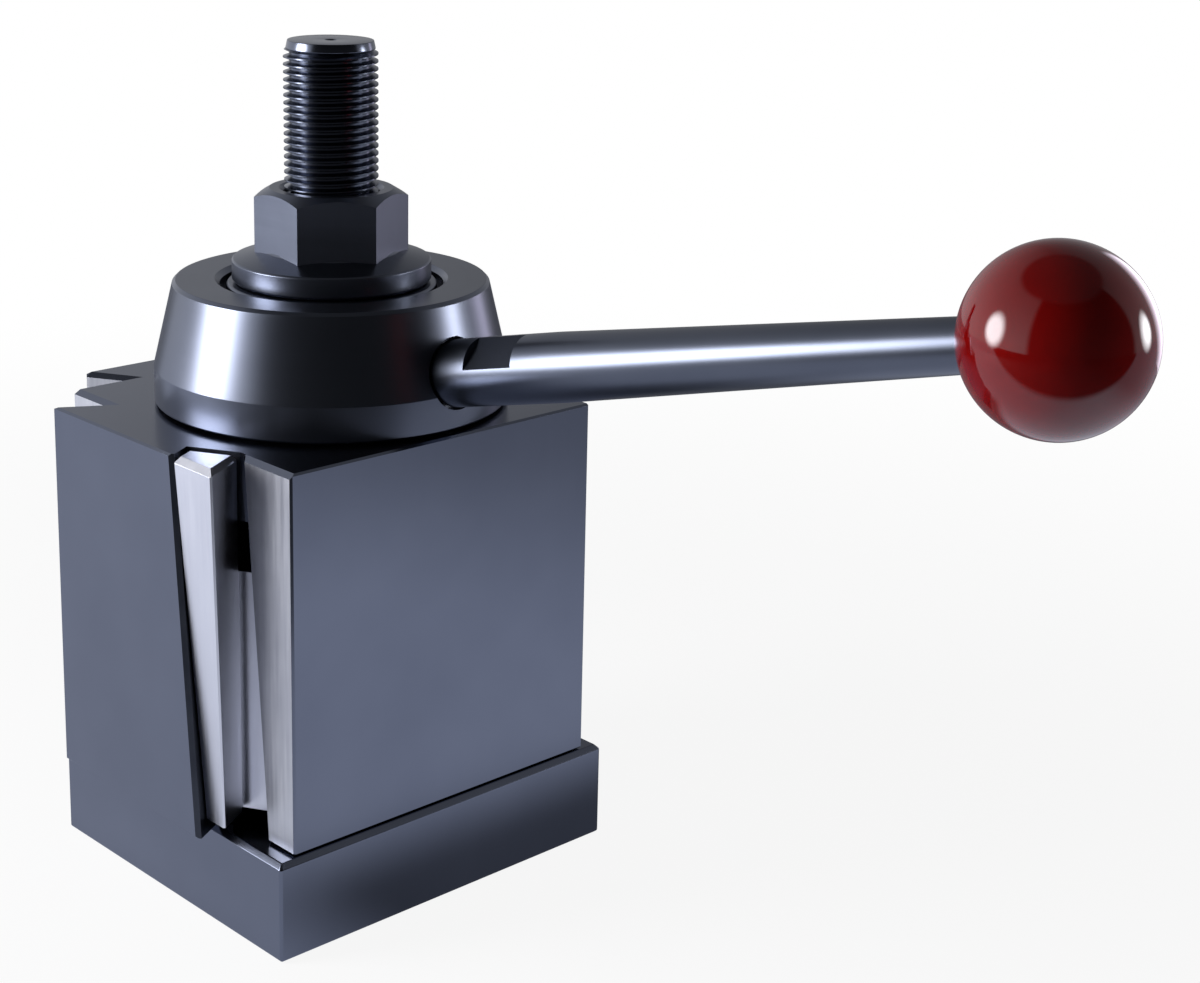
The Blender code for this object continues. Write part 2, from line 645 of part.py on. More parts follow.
def wedge_tool(name, point, outward, size, second):
    """Cuts a 45 degree chamfer along a gib's top edge that runs square to the outward way."""
    out = Vector(outward).normalized()
    along = Vector((-out.y, out.x)) * 40 * mm
    spot = Vector(point)
    reach = 6 * mm
    bm = bmesh.new()
    profile = [(spot - out * size, gib_top), (spot + out * reach, gib_top - size - reach),
               (spot + out * reach, gib_top + reach), (spot - out * size, gib_top + reach)]
    face = bm.faces.new([bm.verts.new((*(p - along), z)) for p, z in profile])
    grown = bmesh.ops.extrude_face_region(bm, geom=[face])
    moved = [v for v in grown["geom"] if isinstance(v, bmesh.types.BMVert)]
    bmesh.ops.translate(bm, verts=moved, vec=(2 * along.x, 2 * along.y, 0.0))
    if second:
        for v in bm.verts:
            v.co.x, v.co.y = -v.co.y, -v.co.x
    return finish(object_from(bm, name, False))


def wedge_strip(name, corner, outward, size, second):
    """Cuts a narrow flat along the edge between the outer face and the upright flank."""
    out = Vector(outward)
    side = Vector((-out.y, out.x)) * 8 * mm
    # The edge runs in the flank, and the outer face leans inward toward the foot
    lean_x = lean_of(False)[0]
    foot = gib_bottom - 5 * mm
    drop = gib_top - foot
    base = Vector(corner) + Vector((-lean_x * drop, -lean_x * drop * tan(dovetail_angle)))
    inner = base - out * size * 0.5
    box = [inner - side, inner + side, inner + side + out * 8 * mm, inner - side + out * 8 * mm]
    return prism(name, side_of([(p.x, p.y) for p in box], second), foot, gib_top + 5 * mm,
                 (lambda x, y: (-y, -x) if second else (x, y))(
                     lean_x, lean_x * tan(dovetail_angle)))


wedge_gib_a = build_gib("a", False)
wedge_gib_b = build_gib("b", True)

# Handle: a tapered rod with a pair of flats, screwed into the hub, and a ball on an insert
rod_low = spotface_distance + rest_gap
rod_high = knob_distance - knob_mouth_distance - rest_gap
shoulder = [(handle_radius - handle_shoulder_radius * (1 - sin(radians(a))),
             rod_low + handle_shoulder_radius * (1 - cos(radians(a)))) for a in (90, 60, 30, 0)]
handle_rod = along_handle(turned("handle_rod", [
    (0.0, rod_high + handle_tip_length), (handle_tip_radius - 0.8 * mm, rod_high + handle_tip_length),
    (handle_tip_radius, rod_high + handle_tip_length - 0.8 * mm), (handle_tip_radius, rod_high),
    (handle_end_radius, rod_high), (handle_radius, handle_straight_end)] + shoulder + [
    (handle_stub_radius, rod_low),
    (handle_stub_radius, rod_low - handle_stub_length + 1 * mm),
    (handle_stub_radius - 1 * mm, rod_low - handle_stub_length), (0.0, rod_low - handle_stub_length)],
    36, False, (blued, 0.35)))
bm = bmesh.new()
for sign in (1, -1):
    place = (Matrix.Rotation(flats_roll, 4, "Z")
             @ Matrix.Translation((0.0, sign * (flats_across / 2 + 5 * mm),
                                   flats_start + flats_length / 2))
             @ Matrix.Diagonal((30 * mm, 10 * mm, flats_length, 1.0)))
    bmesh.ops.create_cube(bm, size=1.0, matrix=place)
flats = along_handle(finish(object_from(bm, "handle_flats", False)))
cut(handle_rod, flats)

bm = bmesh.new()
bmesh.ops.create_uvsphere(bm, u_segments=28, v_segments=18, radius=knob_radius,
                          matrix=Matrix.Translation((0.0, 0.0, knob_distance)))
handle_knob = along_handle(finish(object_from(bm, "handle_knob"), (0.30, 0.012, 0.012), 0.12, 0.0))
mouth = knob_distance - knob_mouth_distance
knob_hole = along_handle(turned("knob_hole", [
    (0.0, mouth + insert_length + 0.6 * mm), (insert_radius + rest_gap, mouth + insert_length + 0.6 * mm),
    (insert_radius + rest_gap, mouth), (knob_radius, mouth), (knob_radius, mouth - 8 * mm),
    (0.0, mouth - 8 * mm)], 32, False))
cut(handle_knob, knob_hole)
knob_insert = along_handle(turned("knob_insert", [
    (insert_radius, mouth + insert_length), (insert_radius, mouth),
    (handle_tip_radius + rest_gap, mouth), (handle_tip_radius + rest_gap, mouth + insert_length)],
    32, True, (brass, 0.3)))

# Flange nut: a hexagon trimmed by a turned chamfer, on a conical skirt and a flange
bore = stud_radius + rest_gap
corner_radius = nut_across_flats / 2 / cos(radians(30.0))
nut_top = nut_bottom + nut_height
skirt_top = nut_bottom + nut_hex_bottom + 4.0 * mm
flange_nut = turned("flange_nut", [
    (nut_across_flats / 2 - 2.2 * mm, nut_top - 4 * mm),
    (nut_across_flats / 2 - 2.2 * mm, skirt_top),
    (nut_across_flats / 2 + 0.4 * mm, nut_bottom + nut_hex_bottom + 0.4 * mm),
    (nut_flange_radius - 0.4 * mm, nut_bottom + nut_flange_height + 0.1 * mm),
    (nut_flange_radius, nut_bottom + nut_flange_height - 0.3 * mm),
    (nut_flange_radius, nut_bottom + nut_foot_chamfer),
    (nut_flange_radius - nut_foot_chamfer, nut_bottom), (bore, nut_bottom),
    (bore, nut_top - 4 * mm)], 48, True, (blued, 0.3))
hexagon = prism("hexagon", [(corner_radius * cos(nut_turn + radians(60 * i)),
                             corner_radius * sin(nut_turn + radians(60 * i))) for i in range(6)],
                nut_bottom + nut_flange_height * 0.6, nut_top)
hex_crown = turned("hex_crown", [
    (0.0, nut_top + 3 * mm), (corner_radius + 8 * mm, nut_top + 3 * mm),
    (corner_radius + 8 * mm, nut_top - nut_corner_drop - 8 * mm * nut_corner_drop
     / (corner_radius - nut_top_radius)), (nut_top_radius, nut_top), (0.0, nut_top)], 48, False)
nut_bore = turned("nut_bore", [
    (0.0, nut_top + 2 * mm), (bore + 3 * mm, nut_top + 2 * mm), (bore, nut_top - 1 * mm),
    (bore, nut_bottom + 1 * mm), (bore + 3 * mm, nut_bottom - 2 * mm), (0.0, nut_bottom - 2 * mm)],
    mid_steps, False)
join(flange_nut, hexagon)
cut(flange_nut, hex_crown, nut_bore)

# Every piece becomes one plain mesh, shaded smooth but for its real edges
ready = bpy.context.evaluated_depsgraph_get()
made = {ob: bpy.data.meshes.new_from_object(ob.evaluated_get(ready)) for ob in post.objects}
for ob, mesh in made.items():
    ob.modifiers.clear()
    ob.data = mesh
    mesh.shade_smooth()
    mesh.set_sharp_from_angle(angle=radians(28.0))
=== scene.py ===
import math

import bmesh
import bpy
from mathutils import Matrix, Vector


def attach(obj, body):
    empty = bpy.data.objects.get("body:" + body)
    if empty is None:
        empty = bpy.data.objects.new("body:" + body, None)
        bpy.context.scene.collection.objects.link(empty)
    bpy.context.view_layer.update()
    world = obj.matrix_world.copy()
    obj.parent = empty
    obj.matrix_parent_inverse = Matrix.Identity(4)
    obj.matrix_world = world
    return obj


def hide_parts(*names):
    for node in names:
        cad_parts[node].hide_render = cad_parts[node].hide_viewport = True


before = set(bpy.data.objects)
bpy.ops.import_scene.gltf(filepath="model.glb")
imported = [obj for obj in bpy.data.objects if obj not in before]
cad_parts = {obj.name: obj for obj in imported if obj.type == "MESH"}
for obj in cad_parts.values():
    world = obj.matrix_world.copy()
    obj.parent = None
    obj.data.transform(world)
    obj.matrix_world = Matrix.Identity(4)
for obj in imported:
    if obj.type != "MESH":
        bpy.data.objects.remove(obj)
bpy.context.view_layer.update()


scene = bpy.context.scene
mm = 0.001
print("frame loaded")


# Helpers for shapes

def linkObject(name, mesh):
    ob = bpy.data.objects.new(name, mesh)
    scene.collection.objects.link(ob)
    return ob


def plainMesh(ob):
    # the evaluated shape as a plain mesh, with nothing left live on the object
    ready = bpy.context.evaluated_depsgraph_get()
    mesh = bpy.data.meshes.new_from_object(ob.evaluated_get(ready))
    mesh.transform(ob.matrix_world)
    ob.modifiers.clear()
    ob.data = mesh
    ob.matrix_world = Matrix.Identity(4)
    return mesh


def settle(ob, angle=30.0):
    # smooth shading, in which the large faces stay flat beside their eased edges
    mesh = plainMesh(ob)
    mesh.shade_smooth()
    mesh.set_sharp_from_angle(angle=math.radians(angle))
    firm = ob.modifiers.new("flat faces", "WEIGHTED_NORMAL")
    firm.mode = "FACE_AREA"
    firm.weight = 100
    firm.keep_sharp = True
    plainMesh(ob)
    return ob


def roundCorners(points, size, closed):
    # swaps each corner of an outline for a short arc, as a deburred edge has
    out = []
    count = len(points)
    for i, point in enumerate(points):
        here = Vector(point)
        if not closed and i in (0, count - 1):
            out.append(here)
            continue
        before, after = Vector(points[i - 1]), Vector(points[(i + 1) % count])
        toBefore, toAfter = before - here, after - here
        reach = min(size, toBefore.length * 0.4, toAfter.length * 0.4)
        if here.x < 1e-6 or toBefore.normalized().dot(toAfter.normalized()) < -0.995:
            out.append(here)
            continue
        start = here + toBefore.normalized() * reach
        end = here + toAfter.normalized() * reach
        for k in range(4):
            t = k / 3
            out.append(start * (1 - t) ** 2 + here * 2 * t * (1 - t) + end * t * t)
    return out


def turnedPiece(name, points, closed=True, steps=224, edge=0.25 * mm, place=None):
    # (radius, height) points spun round Z; open outlines start and end on the axis
    line = roundCorners(points, edge, closed) if edge else [Vector(p) for p in points]
    bm = bmesh.new()
    verts = [bm.verts.new((p[0], 0.0, p[1])) for p in line]
    for a, b in zip(verts, verts[1:]):
        bm.edges.new((a, b))
    if closed:
        bm.edges.new((verts[-1], verts[0]))
    bmesh.ops.spin(bm, geom=bm.verts[:] + bm.edges[:], cent=(0, 0, 0), axis=(0, 0, 1),
                   angle=2 * math.pi, steps=steps, use_merge=True)
    bmesh.ops.remove_doubles(bm, verts=bm.verts, dist=1e-7)
    bm.normal_update()
    bmesh.ops.recalc_face_normals(bm, faces=bm.faces)
    if place:
        bm.transform(place)
    mesh = bpy.data.meshes.new(name)
    bm.to_mesh(mesh)
    bm.free()
    mesh.shade_smooth()
    mesh.set_sharp_from_angle(angle=math.radians(30))
    return linkObject(name, mesh)


def prismPiece(name, outline, low, high, place=None):
    # an (x, y) outline drawn up from low to high
    bm = bmesh.new()
    base = bm.faces.new([bm.verts.new((x, y, low)) for x, y in outline])
    grown = bmesh.ops.extrude_face_region(bm, geom=[base])
    top = [v for v in grown["geom"] if isinstance(v, bmesh.types.BMVert)]
    bmesh.ops.translate(bm, verts=top, vec=(0, 0, high - low))
    if place:
        bm.transform(place)
    bm.normal_update()
    bmesh.ops.recalc_face_normals(bm, faces=bm.faces)
    mesh = bpy.data.meshes.new(name)
    bm.to_mesh(mesh)
    bm.free()
    return linkObject(name, mesh)


def carve(ob, tool, operation="DIFFERENCE"):
    step = ob.modifiers.new(operation.lower(), "BOOLEAN")
    step.operation = operation
    step.solver = "EXACT"
    step.object = tool


def dropTools(*tools):
    for tool in tools:
        bpy.data.objects.remove(tool, do_unlink=True)


def easeEdges(ob, width, angle):
    step = ob.modifiers.new("eased edges", "BEVEL")
    step.width = width
    step.segments = 2
    step.limit_method = "ANGLE"
    step.angle_limit = math.radians(angle)
    step.use_clamp_overlap = True


def copyOfNode(name, pieceName, edge):
    # a CAD solid with its loose triangles merged, its flats made whole and its edges eased
    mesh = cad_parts[name].data.copy()
    mesh.materials.clear()
    bm = bmesh.new()
    bm.from_mesh(mesh)
    bmesh.ops.remove_doubles(bm, verts=bm.verts, dist=1e-6)
    bmesh.ops.dissolve_limit(bm, angle_limit=math.radians(0.6), verts=bm.verts, edges=bm.edges)
    bm.to_mesh(mesh)
    bm.free()
    mesh.name = pieceName
    ob = linkObject(pieceName, mesh)
    easeEdges(ob, edge, 30.0)
    return settle(ob, 32.0)


# Helpers for materials

def hexColour(text):
    # sRGB hex to linear, with full alpha
    parts = [int(text[i:i + 2], 16) / 255 for i in (1, 3, 5)]
    return tuple(c / 12.92 if c <= 0.04045 else ((c + 0.055) / 1.055) ** 2.4
                 for c in parts) + (1.0,)


def addNode(tree, kind, inputs=None, stops=None, **settings):
    # one node with its settings, values and links, and a ramp's (place, colour) stops
    made = tree.nodes.new(kind)
    for key, value in settings.items():
        setattr(made, key, value)
    for socket, value in (inputs or {}).items():
        if isinstance(value, bpy.types.NodeSocket):
            tree.links.new(value, made.inputs[socket])
        else:
            made.inputs[socket].default_value = value
    if stops:
        ramp = made.color_ramp.elements
        while len(ramp) < len(stops):
            ramp.new(0.5)
        for stop, (place, colour) in zip(ramp, stops):
            stop.position = place
            stop.color = colour
    return made


def newMaterial(name, roughness, metallic):
    made = bpy.data.materials.new(name)
    made.use_nodes = True
    shader = made.node_tree.nodes["Principled BSDF"]
    shader.inputs["Metallic"].default_value = metallic
    shader.inputs["Roughness"].default_value = roughness
    return made, made.node_tree, shader


def steel(name, look):
    # Metal with a cloudy tone, and machining lines that stir its tone, gloss and bump
    made, tree, shader = newMaterial(name, look["roughness"], 1.0)
    place = addNode(tree, "ShaderNodeTexCoord").outputs["Object"]
    cloud = addNode(tree, "ShaderNodeTexNoise", {
        "Vector": place, "Scale": 1 / (look["cloudMm"] * mm), "Detail": 3.0, "Roughness": 0.55})
    tone = addNode(tree, "ShaderNodeValToRGB", {"Fac": cloud.outputs["Fac"]}, [
        (0.3, hexColour(look["dark"])), (0.7, hexColour(look["light"]))])
    if look.get("turned"):
        # rings: noise that changes with the radius and the length alone
        if look.get("axis"):
            centred = addNode(tree, "ShaderNodeMapping", {
                "Vector": place, "Location": look["axis"].to_translation(),
                "Rotation": look["axis"].to_euler()}, vector_type="TEXTURE")
            place = centred.outputs[0]
        split = addNode(tree, "ShaderNodeSeparateXYZ", {"Vector": place}).outputs
        flat = addNode(tree, "ShaderNodeCombineXYZ", {"X": split["X"], "Y": split["Y"]})
        radius = addNode(tree, "ShaderNodeVectorMath", {0: flat.outputs[0]}, operation="LENGTH")
        lined = addNode(tree, "ShaderNodeCombineXYZ", {
            "X": radius.outputs["Value"], "Y": split["Z"]})
    else:
        # straight lines: noise stretched along the cutting way, which reads as long scratches
        lined = addNode(tree, "ShaderNodeMapping", {
            "Vector": place, "Rotation": look["turn"], "Scale": look["squeeze"]})
    lines = addNode(tree, "ShaderNodeTexNoise", {
        "Vector": lined.outputs[0], "Scale": 1 / (look["lineMm"] * mm), "Detail": 3.0,
        "Roughness": 0.55}).outputs["Fac"]
    gloss = addNode(tree, "ShaderNodeMapRange", {
        "Value": lines, 1: 0.25, 2: 0.75, 3: look["roughness"] - look["play"],
        4: look["roughness"] + look["play"]})
    tree.links.new(gloss.outputs[0], shader.inputs["Roughness"])
    shade = addNode(tree, "ShaderNodeMix", {
        0: look["lineTone"], 6: tone.outputs["Color"], 7: lines},
        data_type="RGBA", blend_type="OVERLAY")
    tree.links.new(shade.outputs[2], shader.inputs["Base Color"])
    bump = addNode(tree, "ShaderNodeBump", {
        "Height": lines, "Strength": look["bump"], "Distance": look["depthMm"] * mm})
    tree.links.new(bump.outputs[0], shader.inputs["Normal"])
    return made


# Black oxide on surface-ground steel: slate blue-grey and glossy. The grinding lines are too
# fine to show, so they are drawn 1.2 mm apart and very faint
bluedGround = steel("blackOxideOnGroundSteel", {
    "dark": "#6a6f7d", "light": "#717684", "roughness": 0.2, "play": 0.01, "cloudMm": 45.0,
    "turn": (0.0, 0.0, 0.0), "squeeze": (1.0, 1.0, 0.03), "lineMm": 1.2, "lineTone": 0.01,
    "bump": 0.008, "depthMm": 0.02})
# Black oxide left as milled, in the grooves and bores: duller, as milled, and darker as painted
# shade in these hollows
milledBlueWithPaintedShade = steel("blackOxideMilledWithPaintedShade", {
    "dark": "#3a3d45", "light": "#454850", "roughness": 0.42, "play": 0.06, "cloudMm": 12.0,
    "turn": (0.0, 0.0, 0.0), "squeeze": (1.0, 1.0, 0.2), "lineMm": 1.5, "lineTone": 0.1,
    "bump": 0.1, "depthMm": 0.03})
# Black oxide on lathe-turned steel: the same tone. Its feed rings are too fine to show, so they
# are drawn 2 mm apart and very faint
bluedTurned = steel("blackOxideOnTurnedSteel", {
    "dark": "#696e7b", "light": "#707582", "roughness": 0.28, "play": 0.006, "cloudMm": 30.0,
    "turned": True, "lineMm": 2.0, "lineTone": 0.01, "bump": 0.006, "depthMm": 0.02})
# Bare steel off the surface grinder: bright, with slanting wheel marks drawn 0.9 mm apart, as
# coarse as it takes to see them
bareGround = steel("bareSurfaceGroundSteel", {
    "dark": "#b6b7bd", "light": "#c4c5ca", "roughness": 0.4, "play": 0.06, "cloudMm": 25.0,
    "turn": (math.radians(38), math.radians(38), 0.0), "squeeze": (1.0, 1.0, 0.04), "lineMm": 0.9,
    "lineTone": 0.16, "bump": 0.08, "depthMm": 0.03})
# Bare steel, ground along the gib: silver and satin, with long upright lines, again 0.9 mm apart
bareLapped = steel("bareLengthwiseGroundSteel", {
    "dark": "#d8d9e1", "light": "#e2e3ea", "roughness": 0.32, "play": 0.05, "cloudMm": 30.0,
    "turn": (0.0, 0.0, 0.0), "squeeze": (1.0, 1.0, 0.03), "lineMm": 0.9, "lineTone": 0.1,
    "bump": 0.06, "depthMm": 0.03})
# Bare turned steel: bright, with feed rings drawn 0.8 mm apart so that they show, as on the
# bronze and the brass below
bareTurned = steel("bareTurnedSteel", {
    "dark": "#8b8b90", "light": "#97979c", "roughness": 0.32, "play": 0.05, "cloudMm": 12.0,
    "turned": True, "lineMm": 0.8, "lineTone": 0.12, "bump": 0.1, "depthMm": 0.03})
# Turned bearing bronze: warm brown-gold
bronze = steel("turnedBearingBronze", {
    "dark": "#a67c45", "light": "#bb9155", "roughness": 0.35, "play": 0.06, "cloudMm": 8.0,
    "turned": True, "lineMm": 0.8, "lineTone": 0.2, "bump": 0.2, "depthMm": 0.03})
# Turned brass: yellow, brighter than the bronze
brass = steel("turnedBrass", {
    "dark": "#c9a24e", "light": "#dab763", "roughness": 0.26, "play": 0.05, "cloudMm": 8.0,
    "turned": True, "lineMm": 0.8, "lineTone": 0.2, "bump": 0.2, "depthMm": 0.03})
# Black oxide on the nut's milled hexagon: a little duller than the turned steel beside it, with
# faint cutter marks across the flats
bluedHexagon = steel("blackOxideOnMilledHexagon", {
    "dark": "#6c717e", "light": "#747986", "roughness": 0.38, "play": 0.02, "cloudMm": 20.0,
    "turn": (0.0, 0.0, 0.0), "squeeze": (0.05, 0.05, 1.0), "lineMm": 0.9, "lineTone": 0.04,
    "bump": 0.03, "depthMm": 0.02})
# Black oxide on the stud: a finer finish, so that the thread's crests glint
bluedStud = steel("blackOxideOnThreadedStud", {
    "dark": "#696e7b", "light": "#707582", "roughness": 0.18, "play": 0.006, "cloudMm": 30.0,
    "turned": True, "lineMm": 2.0, "lineTone": 0.01, "bump": 0.006, "depthMm": 0.02})


def mouldedPhenolic(name, look):
    # Compression-moulded phenolic, buffed: a deep red body under a glassy, slightly wavy skin
    made, tree, shader = newMaterial(name, look["roughness"], 0.0)
    shader.inputs["IOR"].default_value = look["ior"]
    place = addNode(tree, "ShaderNodeTexCoord").outputs["Object"]
    cloud = addNode(tree, "ShaderNodeTexNoise", {
        "Vector": place, "Scale": 1 / (look["cloudMm"] * mm), "Detail": 2.0})
    tone = addNode(tree, "ShaderNodeValToRGB", {"Fac": cloud.outputs["Fac"]}, [
        (0.3, hexColour(look["dark"])), (0.7, hexColour(look["light"]))])
    tree.links.new(tone.outputs["Color"], shader.inputs["Base Color"])
    wave = addNode(tree, "ShaderNodeTexNoise", {
        "Vector": place, "Scale": 1 / (look["waveMm"] * mm), "Detail": 1.0})
    bump = addNode(tree, "ShaderNodeBump", {
        "Height": wave.outputs["Fac"], "Strength": look["bump"], "Distance": look["depthMm"] * mm})
    tree.links.new(bump.outputs[0], shader.inputs["Normal"])
    return made


def mouldedNitrile(name, look):
    # Moulded nitrile rubber: near-black and matt, with a fine grain
    made, tree, shader = newMaterial(name, look["roughness"], 0.0)
    place = addNode(tree, "ShaderNodeTexCoord").outputs["Object"]
    grain = addNode(tree, "ShaderNodeTexNoise", {
        "Vector": place, "Scale": 1 / (look["grainMm"] * mm), "Detail": 3.0})
    tone = addNode(tree, "ShaderNodeValToRGB", {"Fac": grain.outputs["Fac"]}, [
        (0.3, hexColour(look["dark"])), (0.7, hexColour(look["light"]))])
    tree.links.new(tone.outputs["Color"], shader.inputs["Base Color"])
    return made


redPhenolic = mouldedPhenolic("buffedRedPhenolic", {
    "dark": "#7d0706", "light": "#890907", "roughness": 0.06, "ior": 1.58, "cloudMm": 9.0,
    "waveMm": 6.0, "bump": 0.03, "depthMm": 0.1})
rubber = mouldedNitrile("mouldedNitrileRubber", {
    "dark": "#121214", "light": "#1c1c1f", "roughness": 0.65, "grainMm": 0.8})
print("materials made")


def dress(ob, material, body=None, replaces=None):
    # material, the body it rides on and the CAD node it stands for
    ob.data.materials.clear()
    ob.data.materials.append(material)
    if body:
        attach(ob, body)
    if replaces:
        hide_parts(replaces)
    return ob


# Camera: solved from the photograph's straight edges and circles
view = {"focal": 2257.949, "centreX": 626.986, "centreY": 316.769, "width": 1200, "height": 983,
        "azimuth": -44.610, "elevation": 13.775, "roll": 1.491, "distance": 548.859 * mm,
        "aside": 70.851 * mm, "above": 25.384 * mm, "aim": (0.0, 0.0, 110 * mm), "sensor": 36.0}


def placeCamera():
    az, el, roll = (math.radians(view[k]) for k in ("azimuth", "elevation", "roll"))
    back = Vector((math.sin(az) * math.cos(el), -math.cos(az) * math.cos(el), math.sin(el)))
    right = Vector((math.cos(az), math.sin(az), 0.0))
    up = back.cross(right)
    across = math.cos(roll) * right + math.sin(roll) * up
    upward = -math.sin(roll) * right + math.cos(roll) * up
    spot = (Vector(view["aim"]) + view["aside"] * right + view["above"] * up
            + view["distance"] * back)
    lens = bpy.data.cameras.new("camera")
    lens.sensor_width = view["sensor"]
    lens.lens = view["focal"] / view["width"] * view["sensor"]
    lens.shift_x = (view["width"] / 2 - view["centreX"]) / view["width"]
    lens.shift_y = (view["centreY"] - view["height"] / 2) / view["width"]
    lens.clip_start = 0.01
    camera = bpy.data.objects.new("camera", lens)
    scene.collection.objects.link(camera)
    turn = Matrix((across, upward, back)).transposed().to_4x4()
    camera.matrix_world = Matrix.Translation(spot) @ turn
    scene.camera = camera
    return back


towardCamera = placeCamera()
print("camera placed")

# Base plate and post body: the CAD solids, and how far each piece's edges are eased
edges = {"plate": 0.4 * mm, "body": 0.3 * mm, "gib": 0.2 * mm}
dress(copyOfNode("base_plate", "basePlate", edges["plate"]), bluedGround, "base", "base_plate")
body = dress(copyOfNode("post_body", "postBody", edges["body"]), bluedGround, "post", "post_body")
body.data.materials.append(bareGround)
body.data.materials.append(milledBlueWithPaintedShade)
# the dovetail on -X has a bare seat and flank, its groove and the bore keep the milled finish,
# darkened as painted shade, and the dovetail on +Y is its mirror
dovetail = {"seat": 44.6 * mm, "seatWithin": 0.15 * mm, "grooveTurn": math.radians(30),
            "flankWay": (0.5, 0.866, 0.0), "flankPast": 40 * mm, "secondPast": 30 * mm,
            "secondFrom": -35 * mm, "bore": 34 * mm, "exactly": 0.999, "nearly": 0.97,
            "upright": 0.9}
inward = Vector((math.cos(dovetail["grooveTurn"]), math.sin(dovetail["grooveTurn"]), 0.0))
sideways = Vector((inward.y, -inward.x, 0.0))
flankWay = Vector(dovetail["flankWay"])
for face in body.data.polygons:
    n, c = face.normal, face.center
    if c.y > dovetail["secondPast"] and c.x > dovetail["secondFrom"]:
        n, c = Vector((-n.y, -n.x, n.z)), Vector((-c.y, -c.x, c.z))
    onSeat = (n.x < -dovetail["exactly"]
              and abs(c.x + dovetail["seat"]) < dovetail["seatWithin"])
    onFlank = n.dot(flankWay) > dovetail["exactly"] and c.x < -dovetail["flankPast"]
    inGroove = n.dot(inward) < -dovetail["nearly"] or abs(n.dot(sideways)) > dovetail["nearly"]
    inBore = c.xy.length < dovetail["bore"] and abs(n.z) < dovetail["upright"]
    if onSeat or onFlank:
        face.material_index = 1
    elif inGroove or inBore:
        face.material_index = 2

# Wedge gibs: the CAD solids too, ground bright
for node, piece, rides in (("wedge_gib_a", "wedgeGibA", "gib_a"),
                           ("wedge_gib_b", "wedgeGibB", "gib_b")):
    dress(copyOfNode(node, piece, edges["gib"]), bareLapped, rides, node)
print("plate, body and gibs made")

# Cam hub: cone over a band, bored for the sleeve, with a spotface and socket for the handle
hub = {"baseRadius": 42.3 * mm, "topRadius": 37.7 * mm, "foot": 115.0 * mm, "bandTop": 123.6 * mm,
       "rim": 143.4 * mm, "top": 144.2 * mm, "mouth": 26.5 * mm, "mouthChamfer": 1.15 * mm,
       "ledge": 138.0 * mm, "bore": 23.4 * mm, "spigot": 31.1 * mm, "spigotFoot": 108.3 * mm,
       "recess": 35.0 * mm, "recessTop": 115.9 * mm, "topEdge": 0.8 * mm, "footEdge": 0.5 * mm,
       "edge": 0.12 * mm, "coneRows": 14, "bandRows": 5}
handle = {"angle": -83.1, "rise": 13.05, "height": 118.5 * mm, "socket": 8.5 * mm,
          "socketFloor": 38.5 * mm, "socketReach": 60 * mm, "stub": 6.65 * mm,
          "stubFloor": 30.0 * mm, "drillTip": 2 * mm}
handlePlace = (Matrix.Translation((0, 0, handle["height"]))
               @ Matrix.Rotation(math.radians(handle["angle"]), 4, "Z")
               @ Matrix.Rotation(math.pi / 2 - math.radians(handle["rise"]), 4, "Y"))
# cone and band come in short rows, so that the socket cuts no long faces
coneRows = [(hub["topRadius"] + (hub["baseRadius"] - hub["topRadius"]) * k / hub["coneRows"],
             hub["rim"] + (hub["bandTop"] - hub["rim"]) * k / hub["coneRows"])
            for k in range(hub["coneRows"] + 1)]
bandFoot = hub["foot"] + hub["footEdge"]
bandRows = [(hub["baseRadius"], hub["bandTop"] + (bandFoot - hub["bandTop"]) * k / hub["bandRows"])
            for k in range(1, hub["bandRows"] + 1)]
camHub = turnedPiece("camHub", [
    (hub["mouth"] + hub["mouthChamfer"], hub["top"]),
    (hub["topRadius"] - hub["topEdge"], hub["top"])] + coneRows + bandRows + [
    (hub["baseRadius"] - hub["footEdge"], hub["foot"]), (hub["recess"], hub["foot"]),
    (hub["recess"], hub["recessTop"]), (hub["spigot"], hub["recessTop"]),
    (hub["spigot"], hub["spigotFoot"]), (hub["bore"], hub["spigotFoot"]),
    (hub["bore"], hub["ledge"]), (hub["mouth"], hub["ledge"]),
    (hub["mouth"], hub["top"] - hub["mouthChamfer"])], steps=256, edge=hub["edge"])
socketTool = turnedPiece("socketTool", [
    (0.0, handle["socketReach"]), (handle["socket"], handle["socketReach"]),
    (handle["socket"], handle["socketFloor"]), (handle["stub"], handle["socketFloor"]),
    (handle["stub"], handle["stubFloor"]), (0.0, handle["stubFloor"] - handle["drillTip"])],
    False, 96, 0, handlePlace)
carve(camHub, socketTool)
settle(camHub)
dropTools(socketTool)
dress(camHub, bluedTurned, "cam", "cam_hub")
# the drilled socket keeps the milled finish, darkened as painted shade
camHub.data.materials.append(milledBlueWithPaintedShade)
intoHandle = handlePlace.inverted()
for face in camHub.data.polygons:
    spot = intoHandle @ face.center
    if (spot.xy.length < handle["socket"] + 0.05 * mm
            and spot.z > handle["stubFloor"] - handle["drillTip"] - 1 * mm):
        face.material_index = 1

# Centre sleeve, whose collar shows round the nut
sleeve = {"top": 143.4 * mm, "collar": 25.05 * mm, "collarEdge": 0.5 * mm,
          "collarFoot": 139.6 * mm, "radius": 20.0 * mm, "foot": 33.3 * mm, "bore": 11.61 * mm}
centreSleeve = turnedPiece("centreSleeve", [
    (sleeve["collar"] - sleeve["collarEdge"], sleeve["top"]),
    (sleeve["collar"], sleeve["top"] - sleeve["collarEdge"]),
    (sleeve["collar"], sleeve["collarFoot"]), (sleeve["radius"], sleeve["collarFoot"]),
    (sleeve["radius"], sleeve["foot"]), (sleeve["bore"], sleeve["foot"]),
    (sleeve["bore"], sleeve["top"])])
dress(centreSleeve, bluedTurned, "post", "centre_sleeve")

